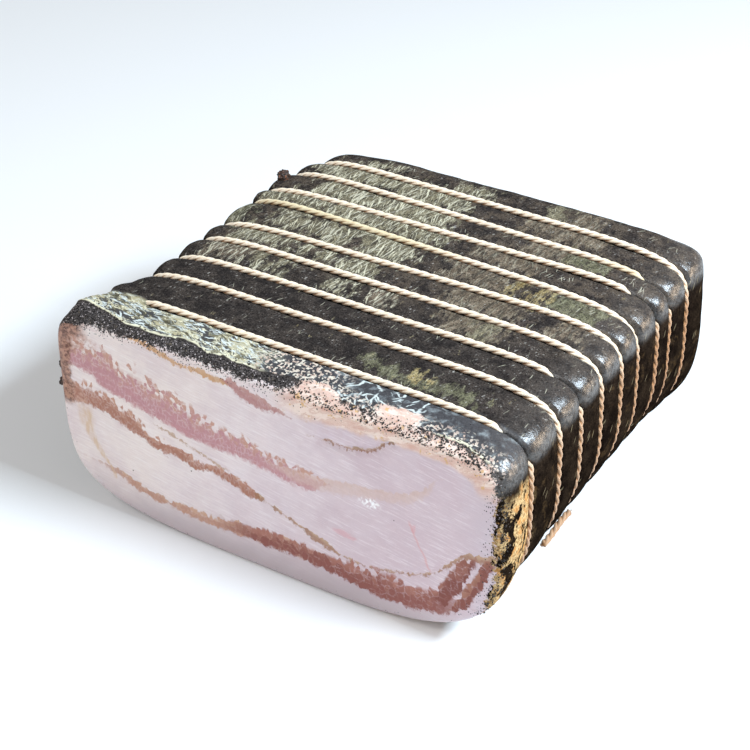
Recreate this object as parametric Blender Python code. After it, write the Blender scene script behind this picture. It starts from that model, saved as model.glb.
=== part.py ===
"""A half slab of cured pork back fat in its black pepper rind, bound with nine turns of butcher's twine.

Metres, +Z up. The slab lies on its fat side, and the cut face looks along -Y. The origin is the middle of the
foot of the box round the whole.
"""

import math

import bmesh
import bpy
from mathutils import Matrix, Vector

MM = 0.001

# The slab. Its cross-section is four superellipse quarters that meet on a centre above mid-height.
FRONT_Y = -96.7 * MM          # the cut face
BACK_Y = 96.0 * MM            # the far end, which is uncut
BACK_SKEW = 0.033             # the far end slants: depth gained for each metre to the right
CENTRE_X = 9.0 * MM
CENTRE_Z = 59.4 * MM
RIGHT_HALF = 96.8 * MM        # from the centre out to the twine on the right side
LEFT_HALF = 100.5 * MM        # the same on the left, behind the second turn of twine
LEFT_FLARE = 18.5 * MM        # how much further the untied cut face reaches on the left
RIGHT_FLARE = 2.0 * MM        # the same on the right
FLARE_LENGTH = 20.0 * MM      # the depth over which the flare dies away
LEFT_BACK_TAPER = 13.0 * MM   # how far the left side draws in at the far end
TAPER_START_Y = 38.0 * MM
UPPER_HALF = 38.7 * MM        # from the centre up to the twine on the top
LOWER_HALF = 57.7 * MM        # from the centre down to the twine under the slab
UPPER_RIGHT_POWER = 6.2       # superellipse powers: a higher one is a squarer corner
LOWER_RIGHT_POWER = 2.5
LOWER_RIGHT_END_POWER = 3.2   # the lower right corner stands out more at either end
UPPER_LEFT_POWER = 8.0
LOWER_LEFT_POWER = 3.6
LOWER_LEFT_FRONT_POWER = 4.2
FRONT_ROUND = 5.5 * MM        # the rounding between the cut face and the top and sides
FRONT_FOOT_ROUND = 2.2 * MM   # the rounding at the foot of the cut face
BACK_TOP_ROUND = 16.0 * MM
BACK_FOOT_ROUND = 12.0 * MM
BACK_LEFT_ROUND = 26.0 * MM
BACK_RIGHT_ROUND = 16.0 * MM
BACK_DOME = 3.0 * MM          # how far the middle of the far end swells

# The twine, and how the slab swells between its turns.
TWINE_RADIUS = 1.5 * MM
CLEARANCE = 0.3 * MM
TURNS = (                     # for each turn, front to back: its depth on the centre line, and its skew
    (-73.6 * MM, -0.009),
    (-49.8 * MM, 0.001),
    (-31.8 * MM, 0.004),
    (-13.2 * MM, 0.004),
    (3.3 * MM, 0.022),
    (23.0 * MM, -0.025),
    (38.3 * MM, 0.016),
    (53.9 * MM, -0.017),
    (70.3 * MM, -0.004),
)
GROOVE_HALF = 1.8 * MM        # half the flat floor of the groove under each turn
SHOULDER = 3.6 * MM           # from a turn to the shoulder of its groove
LEVEL_SINK = 0.2 * MM         # how far the flat top lies below the middle of the twine
TOP_SWELL = 0.7 * MM
SIDE_SWELL = 1.5 * MM
CORNER_SWELL = 2.6 * MM
LOWER_RIGHT_SHARE = 0.15      # the share of the corner's swelling that the lower right corner has
FLOOR_FILL = 1.6 * MM         # under the slab the twine is wholly sunk in the fat

# The twine's loose end, which lies along the lower right edge.
TAIL_START_Y = -38.5 * MM
TAIL_END_Y = -62.0 * MM
TAIL_DIRECTION = (1.0, -0.39)

# Tags of dried meat that stand out of the edges: where on the section, depth, and size.
TAGS = (
    ("back_edge", (-1.0, 0.93), 47.0 * MM, 3.0 * MM),
    ("cut_upper", (-1.0, 0.20), -93.0 * MM, 2.3 * MM),
    ("cut_lower", (-1.0, -0.02), -93.5 * MM, 2.6 * MM),
)
TAG_SUNK = 0.35               # the share of a tag's size by which its middle lies outside the surface

# How finely the solids are divided.
ACROSS = 14
UPRIGHT = 8
CORNER_CROWDING = 0.65        # how strongly the divisions crowd towards the corners
TWINE_BEVEL_RESOLUTION = 2
TAIL_POINTS = 14


def smooth_step(low, high, value):
    """Goes from 0 at low to 1 at high, with level ends."""
    share = min(1.0, max(0.0, (value - low) / (high - low)))
    return share * share * (3.0 - 2.0 * share)


def mix(a, b, share):
    """Runs from a to b as share goes from 0 to 1."""
    return a + (b - a) * share


def flare(y):
    """The share of the cut face's flare that is left at depth y."""
    return math.exp(-(y - FRONT_Y) / FLARE_LENGTH)


def end_inset(y, back_round, front_round=FRONT_ROUND):
    """How far one side of the section is drawn in by the rounding of either end at depth y."""
    for end, radius, toward in ((FRONT_Y, front_round, 1.0), (BACK_Y, back_round, -1.0)):
        depth = (y - end) * toward
        if depth < radius:
            return radius - math.sqrt(max(0.0, radius ** 2 - (radius - depth) ** 2))
    return 0.0


def quarter(side, level, y):
    """The half width, half height and power of the quarter that a direction points into."""
    if side >= 0.0:
        half_width = RIGHT_HALF + RIGHT_FLARE * flare(y) - end_inset(y, BACK_RIGHT_ROUND)
        ends = max(flare(y), smooth_step(TAPER_START_Y, BACK_Y, y))
        lower = mix(LOWER_RIGHT_POWER, LOWER_RIGHT_END_POWER, ends)
        power = UPPER_RIGHT_POWER if level >= 0.0 else lower
    else:
        taper = LEFT_BACK_TAPER * smooth_step(TAPER_START_Y, BACK_Y, y)
        half_width = LEFT_HALF + LEFT_FLARE * flare(y) - taper - end_inset(y, BACK_LEFT_ROUND)
        lower = mix(LOWER_LEFT_POWER, LOWER_LEFT_FRONT_POWER, flare(y))
        power = UPPER_LEFT_POWER if level >= 0.0 else lower
    if level >= 0.0:
        half_height = UPPER_HALF - end_inset(y, BACK_TOP_ROUND)
    else:
        half_height = LOWER_HALF - end_inset(y, BACK_FOOT_ROUND, FRONT_FOOT_ROUND)
    return half_width, half_height, power


def tie_line(side, level, y):
    """The point of the section at depth y where twine would lie, and the way out of the slab there.

    side and level are a point on the edge of the square from -1 to 1, which the section fills.
    """
    half_width, half_height, power = quarter(side, level, y)
    reach = (abs(side) ** power + abs(level) ** power) ** (-1.0 / power)
    across = side * reach
    up = level * reach
    out = Vector((
        math.copysign(abs(across) ** (power - 1.0), across) / half_width,
        0.0,
        math.copysign(abs(up) ** (power - 1.0), up) / half_height,
    )).normalized()
    return Vector((CENTRE_X + across * half_width, 0.0, CENTRE_Z + up * half_height)), out


def skew_at(y):
    """How much the twine's turns near depth y slant, as depth gained for each metre to the right."""
    stops = [(FRONT_Y, 0.0), *TURNS, (BACK_Y, BACK_SKEW)]
    for (y_0, skew_0), (y_1, skew_1) in zip(stops, stops[1:]):
        if y <= y_1:
            return mix(skew_0, skew_1, max(0.0, (y - y_0) / (y_1 - y_0)))
    return 0.0


def swell_amount(out):
    """How far the slab swells between two turns, where its surface looks along out."""
    corner = 4.0 * out.x * out.x * out.z * out.z
    if out.x > 0.0 and out.z < 0.0:
        corner *= LOWER_RIGHT_SHARE
    return TOP_SWELL + SIDE_SWELL * out.x * out.x + CORNER_SWELL * corner


def relief(out, y):
    """The height of the slab's surface over the tie line at depth y."""
    gaps = [y - turn[0] for turn in TURNS]
    nearest = min(abs(gap) for gap in gaps)
    under = FLOOR_FILL * max(0.0, -out.z) ** 2
    if nearest <= GROOVE_HALF + CLEARANCE:
        return -(TWINE_RADIUS + CLEARANCE)
    before = max((turn[0] for turn in TURNS if turn[0] < y), default=None)
    after = min((turn[0] for turn in TURNS if turn[0] > y), default=None)
    if before is None:
        along = min(1.0, (after - y) / (after - FRONT_Y)) * 0.5
    elif after is None:
        along = min(1.0, (y - before) / (BACK_Y - BACK_TOP_ROUND - before)) * 0.5
    else:
        along = (y - before) / (after - before)
    pillow = math.sqrt(max(0.0, 1.0 - (2.0 * along - 1.0) ** 2))
    if before is None:
        pillow *= mix(1.0, 0.25, smooth_step(0.25, 0.5, along))
    return -LEVEL_SINK + swell_amount(out) * pillow + under


def surface(side, level, y):
    """A point of the slab's skin."""
    point, out = tie_line(side, level, y)
    point += out * relief(out, y)
    point.y = y + skew_at(y) * (point.x - CENTRE_X)
    point.z = max(point.z, 0.0)
    return point


def crowd(share):
    """Moves an even division between -1 and 1 towards the corner it is nearest to."""
    return mix(share, math.sin(share * math.pi / 2.0), CORNER_CROWDING)


def depth_stations():
    """The depths of the slab's sections: close together at the roundings and at each groove."""
    front = [FRONT_Y + FRONT_ROUND * (1.0 - math.cos(step * math.pi / 6.0)) for step in range(4)]
    back_steps = [step * math.pi / 8.0 for step in range(5)]
    back = [BACK_Y - BACK_TOP_ROUND * (1.0 - math.sin(angle)) for angle in back_steps]
    stations = front
    for index, (depth, _) in enumerate(TURNS):
        if index:
            room = depth - SHOULDER - stations[-1]
            stations += [stations[-1] + room * share for share in (0.3, 0.7)]
        else:
            stations.append((stations[-1] + depth - SHOULDER) / 2.0)
        stations += [depth + step for step in (-SHOULDER, -GROOVE_HALF, GROOVE_HALF, SHOULDER)]
    return stations + back


def end_point(side, level, y, dome):
    """A point of either end, where side and level lie inside the square."""
    ring = max(abs(side), abs(level))
    if ring == 0.0:
        return Vector((CENTRE_X, y + dome, CENTRE_Z))
    rim = surface(crowd(side / ring), crowd(level / ring), y)
    share = crowd(ring)
    centre = Vector((CENTRE_X, y, CENTRE_Z))
    point = centre.lerp(rim, share)
    point.y += dome * (1.0 - share * share)
    return point


def new_collection(name):
    """A collection linked to the scene."""
    collection = bpy.data.collections.new(name)
    bpy.context.scene.collection.children.link(collection)
    return collection


def new_material(name, colour, roughness):
    """A Principled BSDF material of one colour."""
    material = bpy.data.materials.new(name)
    material.use_nodes = True
    shader = material.node_tree.nodes["Principled BSDF"]
    shader.inputs["Base Color"].default_value = (*colour, 1.0)
    shader.inputs["Roughness"].default_value = roughness
    return material


def new_object(name, data, collection, material):
    """An object with one material, in a collection."""
    thing = bpy.data.objects.new(name, data)
    collection.objects.link(thing)
    data.materials.append(material)
    return thing


def divided_cube(across, along, upright):
    """A cube from -1 to 1 whose edges are cut into these numbers of pieces along X, Y and Z."""
    mesh = bmesh.new()
    bmesh.ops.create_cube(mesh, size=2.0)
    for axis, pieces in enumerate((across, along, upright)):
        edges = [e for e in mesh.edges if abs(e.verts[0].co[axis] - e.verts[1].co[axis]) > 1.5]
        bmesh.ops.subdivide_edges(mesh, edges=edges, cuts=pieces - 1, use_grid_fill=True)
    return mesh


def build_slab(collection, material):
    """The slab: a divided cube whose points are moved to the slab's skin."""
    stations = depth_stations()
    pieces = len(stations) - 1
    mesh = divided_cube(ACROSS, pieces, UPRIGHT)
    for vert in mesh.verts:
        side, along, level = vert.co
        y = stations[round((along + 1.0) / 2.0 * pieces)]
        if along < -0.9999:
            vert.co = end_point(side, level, y, 0.0)
        elif along > 0.9999:
            vert.co = end_point(side, level, y, BACK_DOME)
        else:
            vert.co = surface(crowd(side), crowd(level), y)
    bmesh.ops.recalc_face_normals(mesh, faces=mesh.faces)
    data = bpy.data.meshes.new("lardo_block")
    mesh.to_mesh(data)
    mesh.free()
    data.shade_smooth()
    return new_object("lardo_block", data, collection, material)


def build_tag(name, direction, y, size, collection, material):
    """A small lump of dried meat that stands out of the slab's edge."""
    point = surface(*direction, y)
    out = tie_line(*direction, y)[1]
    mesh = bmesh.new()
    bmesh.ops.create_icosphere(mesh, subdivisions=2, radius=size)
    bmesh.ops.scale(mesh, vec=(1.0, 0.8, 1.15), verts=mesh.verts)
    bmesh.ops.translate(mesh, vec=point + out * size * TAG_SUNK, verts=mesh.verts)
    data = bpy.data.meshes.new(name)
    mesh.to_mesh(data)
    mesh.free()
    return new_object(name, data, collection, material)


def fuse_tags(slab, collection, material):
    """Joins the dried tags to the slab by one union."""
    tags = new_collection("dried_tags")
    for name, direction, y, size in TAGS:
        build_tag(name, direction, y, size, tags, material)
    union = slab.modifiers.new("tags", "BOOLEAN")
    union.operation = "UNION"
    union.operand_type = "COLLECTION"
    union.collection = tags
    union.solver = "EXACT"
    fused = bpy.data.meshes.new_from_object(slab.evaluated_get(bpy.context.evaluated_depsgraph_get()))
    slab.modifiers.remove(union)
    slab.data = fused
    for tag in list(tags.objects):
        bpy.data.objects.remove(tag)
    bpy.data.collections.remove(tags)


def square_ring():
    """The directions round the section, in the order in which twine goes round the slab."""
    top = [(-1.0 + 2.0 * step / ACROSS, 1.0) for step in range(ACROSS)]
    right = [(1.0, 1.0 - 2.0 * step / UPRIGHT) for step in range(UPRIGHT)]
    bottom = [(1.0 - 2.0 * step / ACROSS, -1.0) for step in range(ACROSS)]
    left = [(-1.0, -1.0 + 2.0 * step / UPRIGHT) for step in range(UPRIGHT)]
    return [(crowd(side), crowd(level)) for side, level in top + right + bottom + left]


def build_cord(name, points, closed, collection, material):
    """A round cord through the points."""
    curve = bpy.data.curves.new(name, "CURVE")
    curve.dimensions = "3D"
    curve.bevel_depth = TWINE_RADIUS
    curve.bevel_resolution = TWINE_BEVEL_RESOLUTION
    curve.use_fill_caps = not closed
    spline = curve.splines.new("POLY")
    spline.points.add(len(points) - 1)
    for place, point in zip(spline.points, points):
        place.co = (*point, 1.0)
    spline.use_cyclic_u = closed
    return new_object(name, curve, collection, material)


def build_turn(number, depth, skew, collection, material):
    """One turn of twine round the slab."""
    points = []
    for side, level in square_ring():
        point = tie_line(side, level, depth)[0]
        point.y = depth + skew * (point.x - CENTRE_X)
        points.append(point)
    return build_cord(f"string_loop_{number}", points, True, collection, material)


def build_tail(collection, material):
    """The loose end of the twine, laid over the second turn along the lower right edge."""
    depths = [mix(TAIL_START_Y, TAIL_END_Y, step / (TAIL_POINTS - 1)) for step in range(TAIL_POINTS)]
    ties = [tie_line(*TAIL_DIRECTION, y) for y in depths]
    height = max(relief(out, y) for y, (_, out) in zip(depths, ties))
    points = []
    for y, (point, out) in zip(depths, ties):
        point += out * (height + TWINE_RADIUS + CLEARANCE)
        point.y = y
        points.append(point)
    return build_cord("string_tail", points, False, collection, material)


def centre_over_origin(things):
    """Moves everything so that the box round it stands on the origin."""
    graph = bpy.context.evaluated_depsgraph_get()
    corners = []
    for thing in things:
        body = thing.evaluated_get(graph).to_mesh()
        corners += [vert.co.copy() for vert in body.vertices]
    low = Vector([min(corner[axis] for corner in corners) for axis in range(3)])
    high = Vector([max(corner[axis] for corner in corners) for axis in range(3)])
    shift = Matrix.Translation((-(low.x + high.x) / 2.0, -(low.y + high.y) / 2.0, -low.z))
    for thing in things:
        thing.data.transform(shift)


def main():
    """Clears the scene and builds the slab and its twine."""
    for thing in list(bpy.data.objects):
        bpy.data.objects.remove(thing)
    collection = new_collection("lardo")
    rind = new_material("pepper_rind", (0.075, 0.062, 0.050), 0.55)
    twine = new_material("twine", (0.78, 0.63, 0.44), 0.85)
    slab = build_slab(collection, rind)
    fuse_tags(slab, collection, rind)
    for number, (depth, skew) in enumerate(TURNS, start=1):
        build_turn(number, depth, skew, collection, twine)
    build_tail(collection, twine)
    centre_over_origin(list(collection.objects))


main()
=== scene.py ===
"""A half slab of lardo: cured pork back fat in a peppered rind, bound with nine turns of butcher's twine."""
import logging
import math
import random
from dataclasses import dataclass, field
from enum import Enum
from typing import Any, Iterable, Sequence

import bmesh
import bpy
from mathutils import Matrix, Vector, noise


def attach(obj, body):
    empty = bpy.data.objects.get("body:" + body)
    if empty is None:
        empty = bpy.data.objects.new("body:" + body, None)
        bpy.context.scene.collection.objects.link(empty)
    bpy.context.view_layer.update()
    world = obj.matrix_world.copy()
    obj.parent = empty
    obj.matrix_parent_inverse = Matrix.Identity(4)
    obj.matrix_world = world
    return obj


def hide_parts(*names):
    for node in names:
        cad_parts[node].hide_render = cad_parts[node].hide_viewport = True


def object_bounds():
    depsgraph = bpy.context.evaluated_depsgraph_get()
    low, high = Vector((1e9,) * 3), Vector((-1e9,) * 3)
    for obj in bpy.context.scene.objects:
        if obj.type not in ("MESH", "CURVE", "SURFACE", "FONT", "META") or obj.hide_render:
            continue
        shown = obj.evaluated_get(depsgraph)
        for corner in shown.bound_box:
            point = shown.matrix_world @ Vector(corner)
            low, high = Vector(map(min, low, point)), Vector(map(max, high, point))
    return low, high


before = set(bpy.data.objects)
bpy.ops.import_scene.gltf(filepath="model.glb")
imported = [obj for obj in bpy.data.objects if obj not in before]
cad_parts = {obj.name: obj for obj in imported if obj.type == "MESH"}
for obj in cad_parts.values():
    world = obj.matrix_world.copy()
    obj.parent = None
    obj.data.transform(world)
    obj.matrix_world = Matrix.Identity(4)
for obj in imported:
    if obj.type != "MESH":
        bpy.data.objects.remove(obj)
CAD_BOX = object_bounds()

LOG = logging.getLogger("lardo")
MM = 0.001
MARKS_X = 1.062  # where the zero of the finish's own X lies, in millimetres
Colour = tuple[float, float, float]
Box = tuple[float, float, float, float]
Entry = Any


# Shader arithmetic

class Blend(Enum):
    """How one colour is laid over another."""

    MIX = "MIX"
    MULTIPLY = "MULTIPLY"


class Twist(Enum):
    """Which way the strands of a twine turn about its axis."""

    LEFT = -1.0
    RIGHT = 1.0


class Grain(Enum):
    """How thick the bundles of muscle in a streak are."""

    FINE = 2.1
    COARSE = 3.4


def plug(tree: bpy.types.NodeTree, socket: bpy.types.NodeSocket, entry: Entry) -> None:
    """Gives a socket a link or a value.

    Args:
        tree: The node tree that the socket is in.
        socket: The input socket.
        entry: A Wire to link, or a plain value; a colour gets an alpha of 1.
    """
    if isinstance(entry, Wire):
        tree.links.new(entry.socket, socket)
    elif socket.type == "RGBA":
        socket.default_value = (*entry[:3], 1.0)
    else:
        socket.default_value = entry


@dataclass(frozen=True)
class Wire:
    """An output socket that takes part in Python arithmetic."""

    tree: bpy.types.NodeTree
    socket: bpy.types.NodeSocket

    def math(self, operation: str, *entries: Entry) -> "Wire":
        """Adds a Math node.

        Args:
            operation: The Math node's operation.
            entries: The values or wires of its inputs, in order.

        Returns:
            The node's result.
        """
        node = self.tree.nodes.new("ShaderNodeMath")
        node.operation = operation
        for socket, entry in zip(node.inputs, entries):
            plug(self.tree, socket, entry)
        return Wire(self.tree, node.outputs[0])

    def __add__(self, other: Entry) -> "Wire":
        """self + other."""
        return self.math("ADD", self, other)

    def __radd__(self, other: Entry) -> "Wire":
        """other + self."""
        return self.math("ADD", other, self)

    def __sub__(self, other: Entry) -> "Wire":
        """self - other."""
        return self.math("SUBTRACT", self, other)

    def __rsub__(self, other: Entry) -> "Wire":
        """other - self."""
        return self.math("SUBTRACT", other, self)

    def __mul__(self, other: Entry) -> "Wire":
        """self * other."""
        return self.math("MULTIPLY", self, other)

    def __rmul__(self, other: Entry) -> "Wire":
        """other * self."""
        return self.math("MULTIPLY", other, self)

    def __truediv__(self, other: Entry) -> "Wire":
        """self / other."""
        return self.math("DIVIDE", self, other)

    def __rtruediv__(self, other: Entry) -> "Wire":
        """other / self."""
        return self.math("DIVIDE", other, self)

    def __neg__(self) -> "Wire":
        """-self."""
        return self.math("MULTIPLY", self, -1.0)

    def __abs__(self) -> "Wire":
        """The size of self."""
        return self.math("ABSOLUTE", self)

    def over(self, other: Entry) -> "Wire":
        """The larger of self and other."""
        return self.math("MAXIMUM", self, other)

    def under(self, other: Entry) -> "Wire":
        """The smaller of self and other."""
        return self.math("MINIMUM", self, other)


class Painter:
    """Builds one material's nodes."""

    def __init__(self, name: str) -> None:
        """Starts an empty material.

        Args:
            name: The material's name.
        """
        self.material = bpy.data.materials.new(name)
        self.material.use_nodes = True
        self.tree = self.material.node_tree
        self.tree.nodes.clear()

    def add(self, kind: str, settings: dict[str, Any] | None = None, inputs: dict[Any, Entry] | None = None,
            out: Any = 0) -> Wire:
        """Adds a node of any type.

        Args:
            kind: The node's type.
            settings: Its properties, set first; "points" fills a float curve.
            inputs: The values or wires of its sockets, by name or number.
            out: The name or number of the output that is wanted.

        Returns:
            That output.
        """
        node = self.tree.nodes.new(kind)
        for key, value in (settings or {}).items():
            if key == "points":
                curve = node.mapping.curves[0]
                while len(curve.points) < len(value):
                    curve.points.new(0.5, 0.5)
                for point, place in zip(curve.points, value):
                    point.location = place
                node.mapping.update()
            else:
                setattr(node, key, value)
        for key, entry in (inputs or {}).items():
            plug(self.tree, node.inputs[key], entry)
        return Wire(self.tree, node.outputs[out])

    def place(self) -> Wire:
        """The position on the object, in millimetres."""
        spot = self.add("ShaderNodeTexCoord", out="Object")
        return self.add("ShaderNodeVectorMath", {"operation": "MULTIPLY_ADD"},
                        {0: spot, 1: (1000.0, 1000.0, 1000.0), 2: (-MARKS_X, 0.0, 0.0)})

    def parts(self, wire: Wire) -> tuple[Wire, ...]:
        """All outputs of the node that a wire comes from."""
        return tuple(Wire(self.tree, socket) for socket in wire.socket.node.outputs)

    def axes(self, vector: Wire) -> tuple[Wire, Wire, Wire]:
        """The X, Y and Z of a vector."""
        return self.parts(self.add("ShaderNodeSeparateXYZ", inputs={0: vector}))

    def channels(self, colour: Wire) -> tuple[Wire, ...]:
        """The red, green and blue of a colour."""
        return self.parts(self.add("ShaderNodeSeparateColor", inputs={0: colour}))

    def vector(self, x: Entry, y: Entry, z: Entry) -> Wire:
        """A vector of three values."""
        return self.add("ShaderNodeCombineXYZ", inputs={0: x, 1: y, 2: z})

    def attribute(self, name: str) -> Wire:
        """A value kept on the mesh."""
        return self.add("ShaderNodeAttribute", {"attribute_name": name}, out="Fac")

    def stretched(self, vector: Wire, scale: Sequence[float], turn: Sequence[float] = (0, 0, 0)) -> Wire:
        """Turns a position, then scales it along each axis.

        Args:
            vector: The position.
            scale: The scale along X, Y and Z after the turn.
            turn: The turn about X, Y and Z in degrees.

        Returns:
            The new position.
        """
        turned = self.add("ShaderNodeMapping", {"vector_type": "POINT"},
                          {"Vector": vector, "Rotation": [math.radians(angle) for angle in turn]})
        return self.add("ShaderNodeMapping", {"vector_type": "POINT"}, {"Vector": turned, "Scale": scale})

    def noise(self, vector: Wire, size: float, detail: float = 2.0, roughness: float = 0.5,
              colour: bool = False) -> Wire:
        """Soft noise about 0.5.

        Args:
            vector: The position in millimetres.
            size: The size of its lumps in millimetres.
            detail: How many finer layers it has.
            roughness: How strong those are.
            colour: Whether three independent values are wanted instead of one.

        Returns:
            The noise.
        """
        inputs = {"Vector": vector, "Scale": 1.0 / size, "Detail": detail, "Roughness": roughness}
        return self.add("ShaderNodeTexNoise", inputs=inputs, out=1 if colour else 0)

    def cells(self, vector: Wire, size: float) -> tuple[Wire, Wire]:
        """Cells scattered about a surface.

        Args:
            vector: The position in millimetres.
            size: The size of a cell in millimetres.

        Returns:
            The distance from a cell's middle, and the cell's chance.
        """
        cell = self.add("ShaderNodeTexVoronoi", {"feature": "F1"}, {"Vector": vector, "Scale": 1.0 / size})
        distance, colour = self.parts(cell)[:2]
        return distance, self.channels(colour)[0]

    def flat_cells(self, vector: Wire, size: float, feature: str = "F1") -> tuple[Wire, ...]:
        """Cells over the X and Y of a position.

        Args:
            vector: The position in millimetres.
            size: The size of a cell in millimetres.
            feature: What is measured of the cells.

        Returns:
            The distance, and for F1 each cell's colour and middle.
        """
        settings = {"feature": feature, "voronoi_dimensions": "2D"}
        return self.parts(self.add("ShaderNodeTexVoronoi", settings, {"Vector": vector, "Scale": 1.0 / size}))

    def needles(self, vector: Wire, size: float, aspect: float, angle: float, reach: float, share: float,
                seed: float) -> Wire:
        """Short straight marks over the X and Y of a position.

        Args:
            vector: The position in millimetres.
            size: How far apart they are, side by side.
            aspect: How many times longer than thick they are.
            angle: Their lean from X towards Y, in degrees.
            reach: Half their thickness, as a share of size.
            share: How many of them are there, 0 to 1.
            seed: Tells one set from another.

        Returns:
            The mask.
        """
        turned = self.add("ShaderNodeMapping", {"vector_type": "POINT"},
                          {"Vector": vector, "Rotation": (0.0, 0.0, -math.radians(angle)),
                           "Location": (seed, seed * 0.7, 0.0)})
        squeezed = self.add("ShaderNodeMapping", {"vector_type": "POINT"},
                            {"Vector": turned, "Scale": (1.0 / aspect, 1.0, 1.0)})
        distance, colour = self.flat_cells(squeezed, size)[:2]
        chance = self.channels(colour)[0]
        return self.fall(distance, reach * 0.6, reach) * self.fall(chance, share - 0.02, share + 0.02)

    def warped(self, vector: Wire, size: float, amount: float) -> Wire:
        """A position pushed about by noise.

        Args:
            vector: The position in millimetres.
            size: The size of the noise's lumps.
            amount: The furthest push, in millimetres.

        Returns:
            The new position.
        """
        push = self.add("ShaderNodeVectorMath", {"operation": "SUBTRACT"},
                        {0: self.noise(vector, size, colour=True), 1: (0.5, 0.5, 0.5)})
        return self.add("ShaderNodeVectorMath", {"operation": "MULTIPLY_ADD"},
                        {0: push, 1: (2.0 * amount,) * 3, 2: vector})

    def rise(self, value: Wire, low: Entry, high: Entry) -> Wire:
        """Goes smoothly from 0 at low to 1 at high."""
        return self.add("ShaderNodeMapRange", {"interpolation_type": "SMOOTHSTEP"},
                        {"Value": value, "From Min": low, "From Max": high})

    def fall(self, value: Wire, low: Entry, high: Entry) -> Wire:
        """Goes smoothly from 1 at low to 0 at high."""
        return 1.0 - self.rise(value, low, high)

    def spot(self, place: Wire, centre: Sequence[float], radii: Sequence[float]) -> Wire:
        """A soft ellipsoid: 1 in the middle, 0 outside its radii.

        Args:
            place: The position.
            centre: The middle.
            radii: The radius along each axis.

        Returns:
            The mask.
        """
        off = self.add("ShaderNodeVectorMath", {"operation": "SUBTRACT"}, {0: place, 1: centre})
        share = self.add("ShaderNodeVectorMath", {"operation": "DIVIDE"}, {0: off, 1: radii})
        reach = self.add("ShaderNodeVectorMath", {"operation": "LENGTH"}, {0: share}, "Value")
        return self.fall(reach, 0.45, 1.0)

    def mix(self, factor: Entry, base: Entry, top: Entry, blend: Blend = Blend.MIX) -> Wire:
        """Lays one colour over another.

        Args:
            factor: How much of the upper colour shows.
            base: The lower colour.
            top: The upper colour.
            blend: How it is laid.

        Returns:
            The colour.
        """
        settings = {"data_type": "RGBA", "blend_type": blend.value, "clamp_factor": True}
        return self.add("ShaderNodeMix", settings, {0: factor, 6: base, 7: top}, 2)

    def either(self, factor: Entry, first: Wire, second: Wire) -> Wire:
        """One shader where the factor is 0, and another where it is 1."""
        return self.add("ShaderNodeMixShader", inputs={0: factor, 1: first, 2: second})

    def shader(self, colour: Entry, roughness: Entry, normal: Wire | None, fixed: dict[str, Any]) -> Wire:
        """A Principled BSDF.

        Args:
            colour: Its base colour.
            roughness: Its roughness.
            normal: Its normal, or None.
            fixed: Its constant sockets.

        Returns:
            The shader.
        """
        inputs = {"Base Color": colour, "Roughness": roughness, **fixed}
        if normal is not None:
            inputs["Normal"] = normal
        return self.add("ShaderNodeBsdfPrincipled", inputs=inputs)

    def bump(self, height: Wire, depth: float, strength: float = 1.0) -> Wire:
        """A Bump node.

        Args:
            height: The height, 0 to 1.
            depth: The true depth of a height of 1, in metres.
            strength: The share of the bump that is used.

        Returns:
            The normal.
        """
        return self.add("ShaderNodeBump", inputs={"Height": height, "Distance": depth, "Strength": strength})

    def finish(self, shader: Wire) -> bpy.types.Material:
        """Feeds the shader to the surface and gives back the material."""
        node = self.tree.nodes.new("ShaderNodeOutputMaterial")
        self.tree.links.new(shader.socket, node.inputs["Surface"])
        return self.material


# The slab's form

def mix(a: float, b: float, share: float) -> float:
    """Runs from a to b as share goes from 0 to 1."""
    return a + (b - a) * share


def smooth_step(low: float, high: float, value: float) -> float:
    """Goes from 0 at low to 1 at high, with level ends."""
    share = min(1.0, max(0.0, (value - low) / (high - low)))
    return share * share * (3.0 - 2.0 * share)


def along_path(path: Sequence[tuple[float, float]], x: float) -> float:
    """The height of a line of points at x.

    Args:
        path: The points, from left to right.
        x: Where the height is wanted.

    Returns:
        The height, held level past either end.
    """
    if x <= path[0][0]:
        return path[0][1]
    for (x_0, y_0), (x_1, y_1) in zip(path, path[1:]):
        if x <= x_1:
            return mix(y_0, y_1, (x - x_0) / (x_1 - x_0))
    return path[-1][1]


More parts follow.
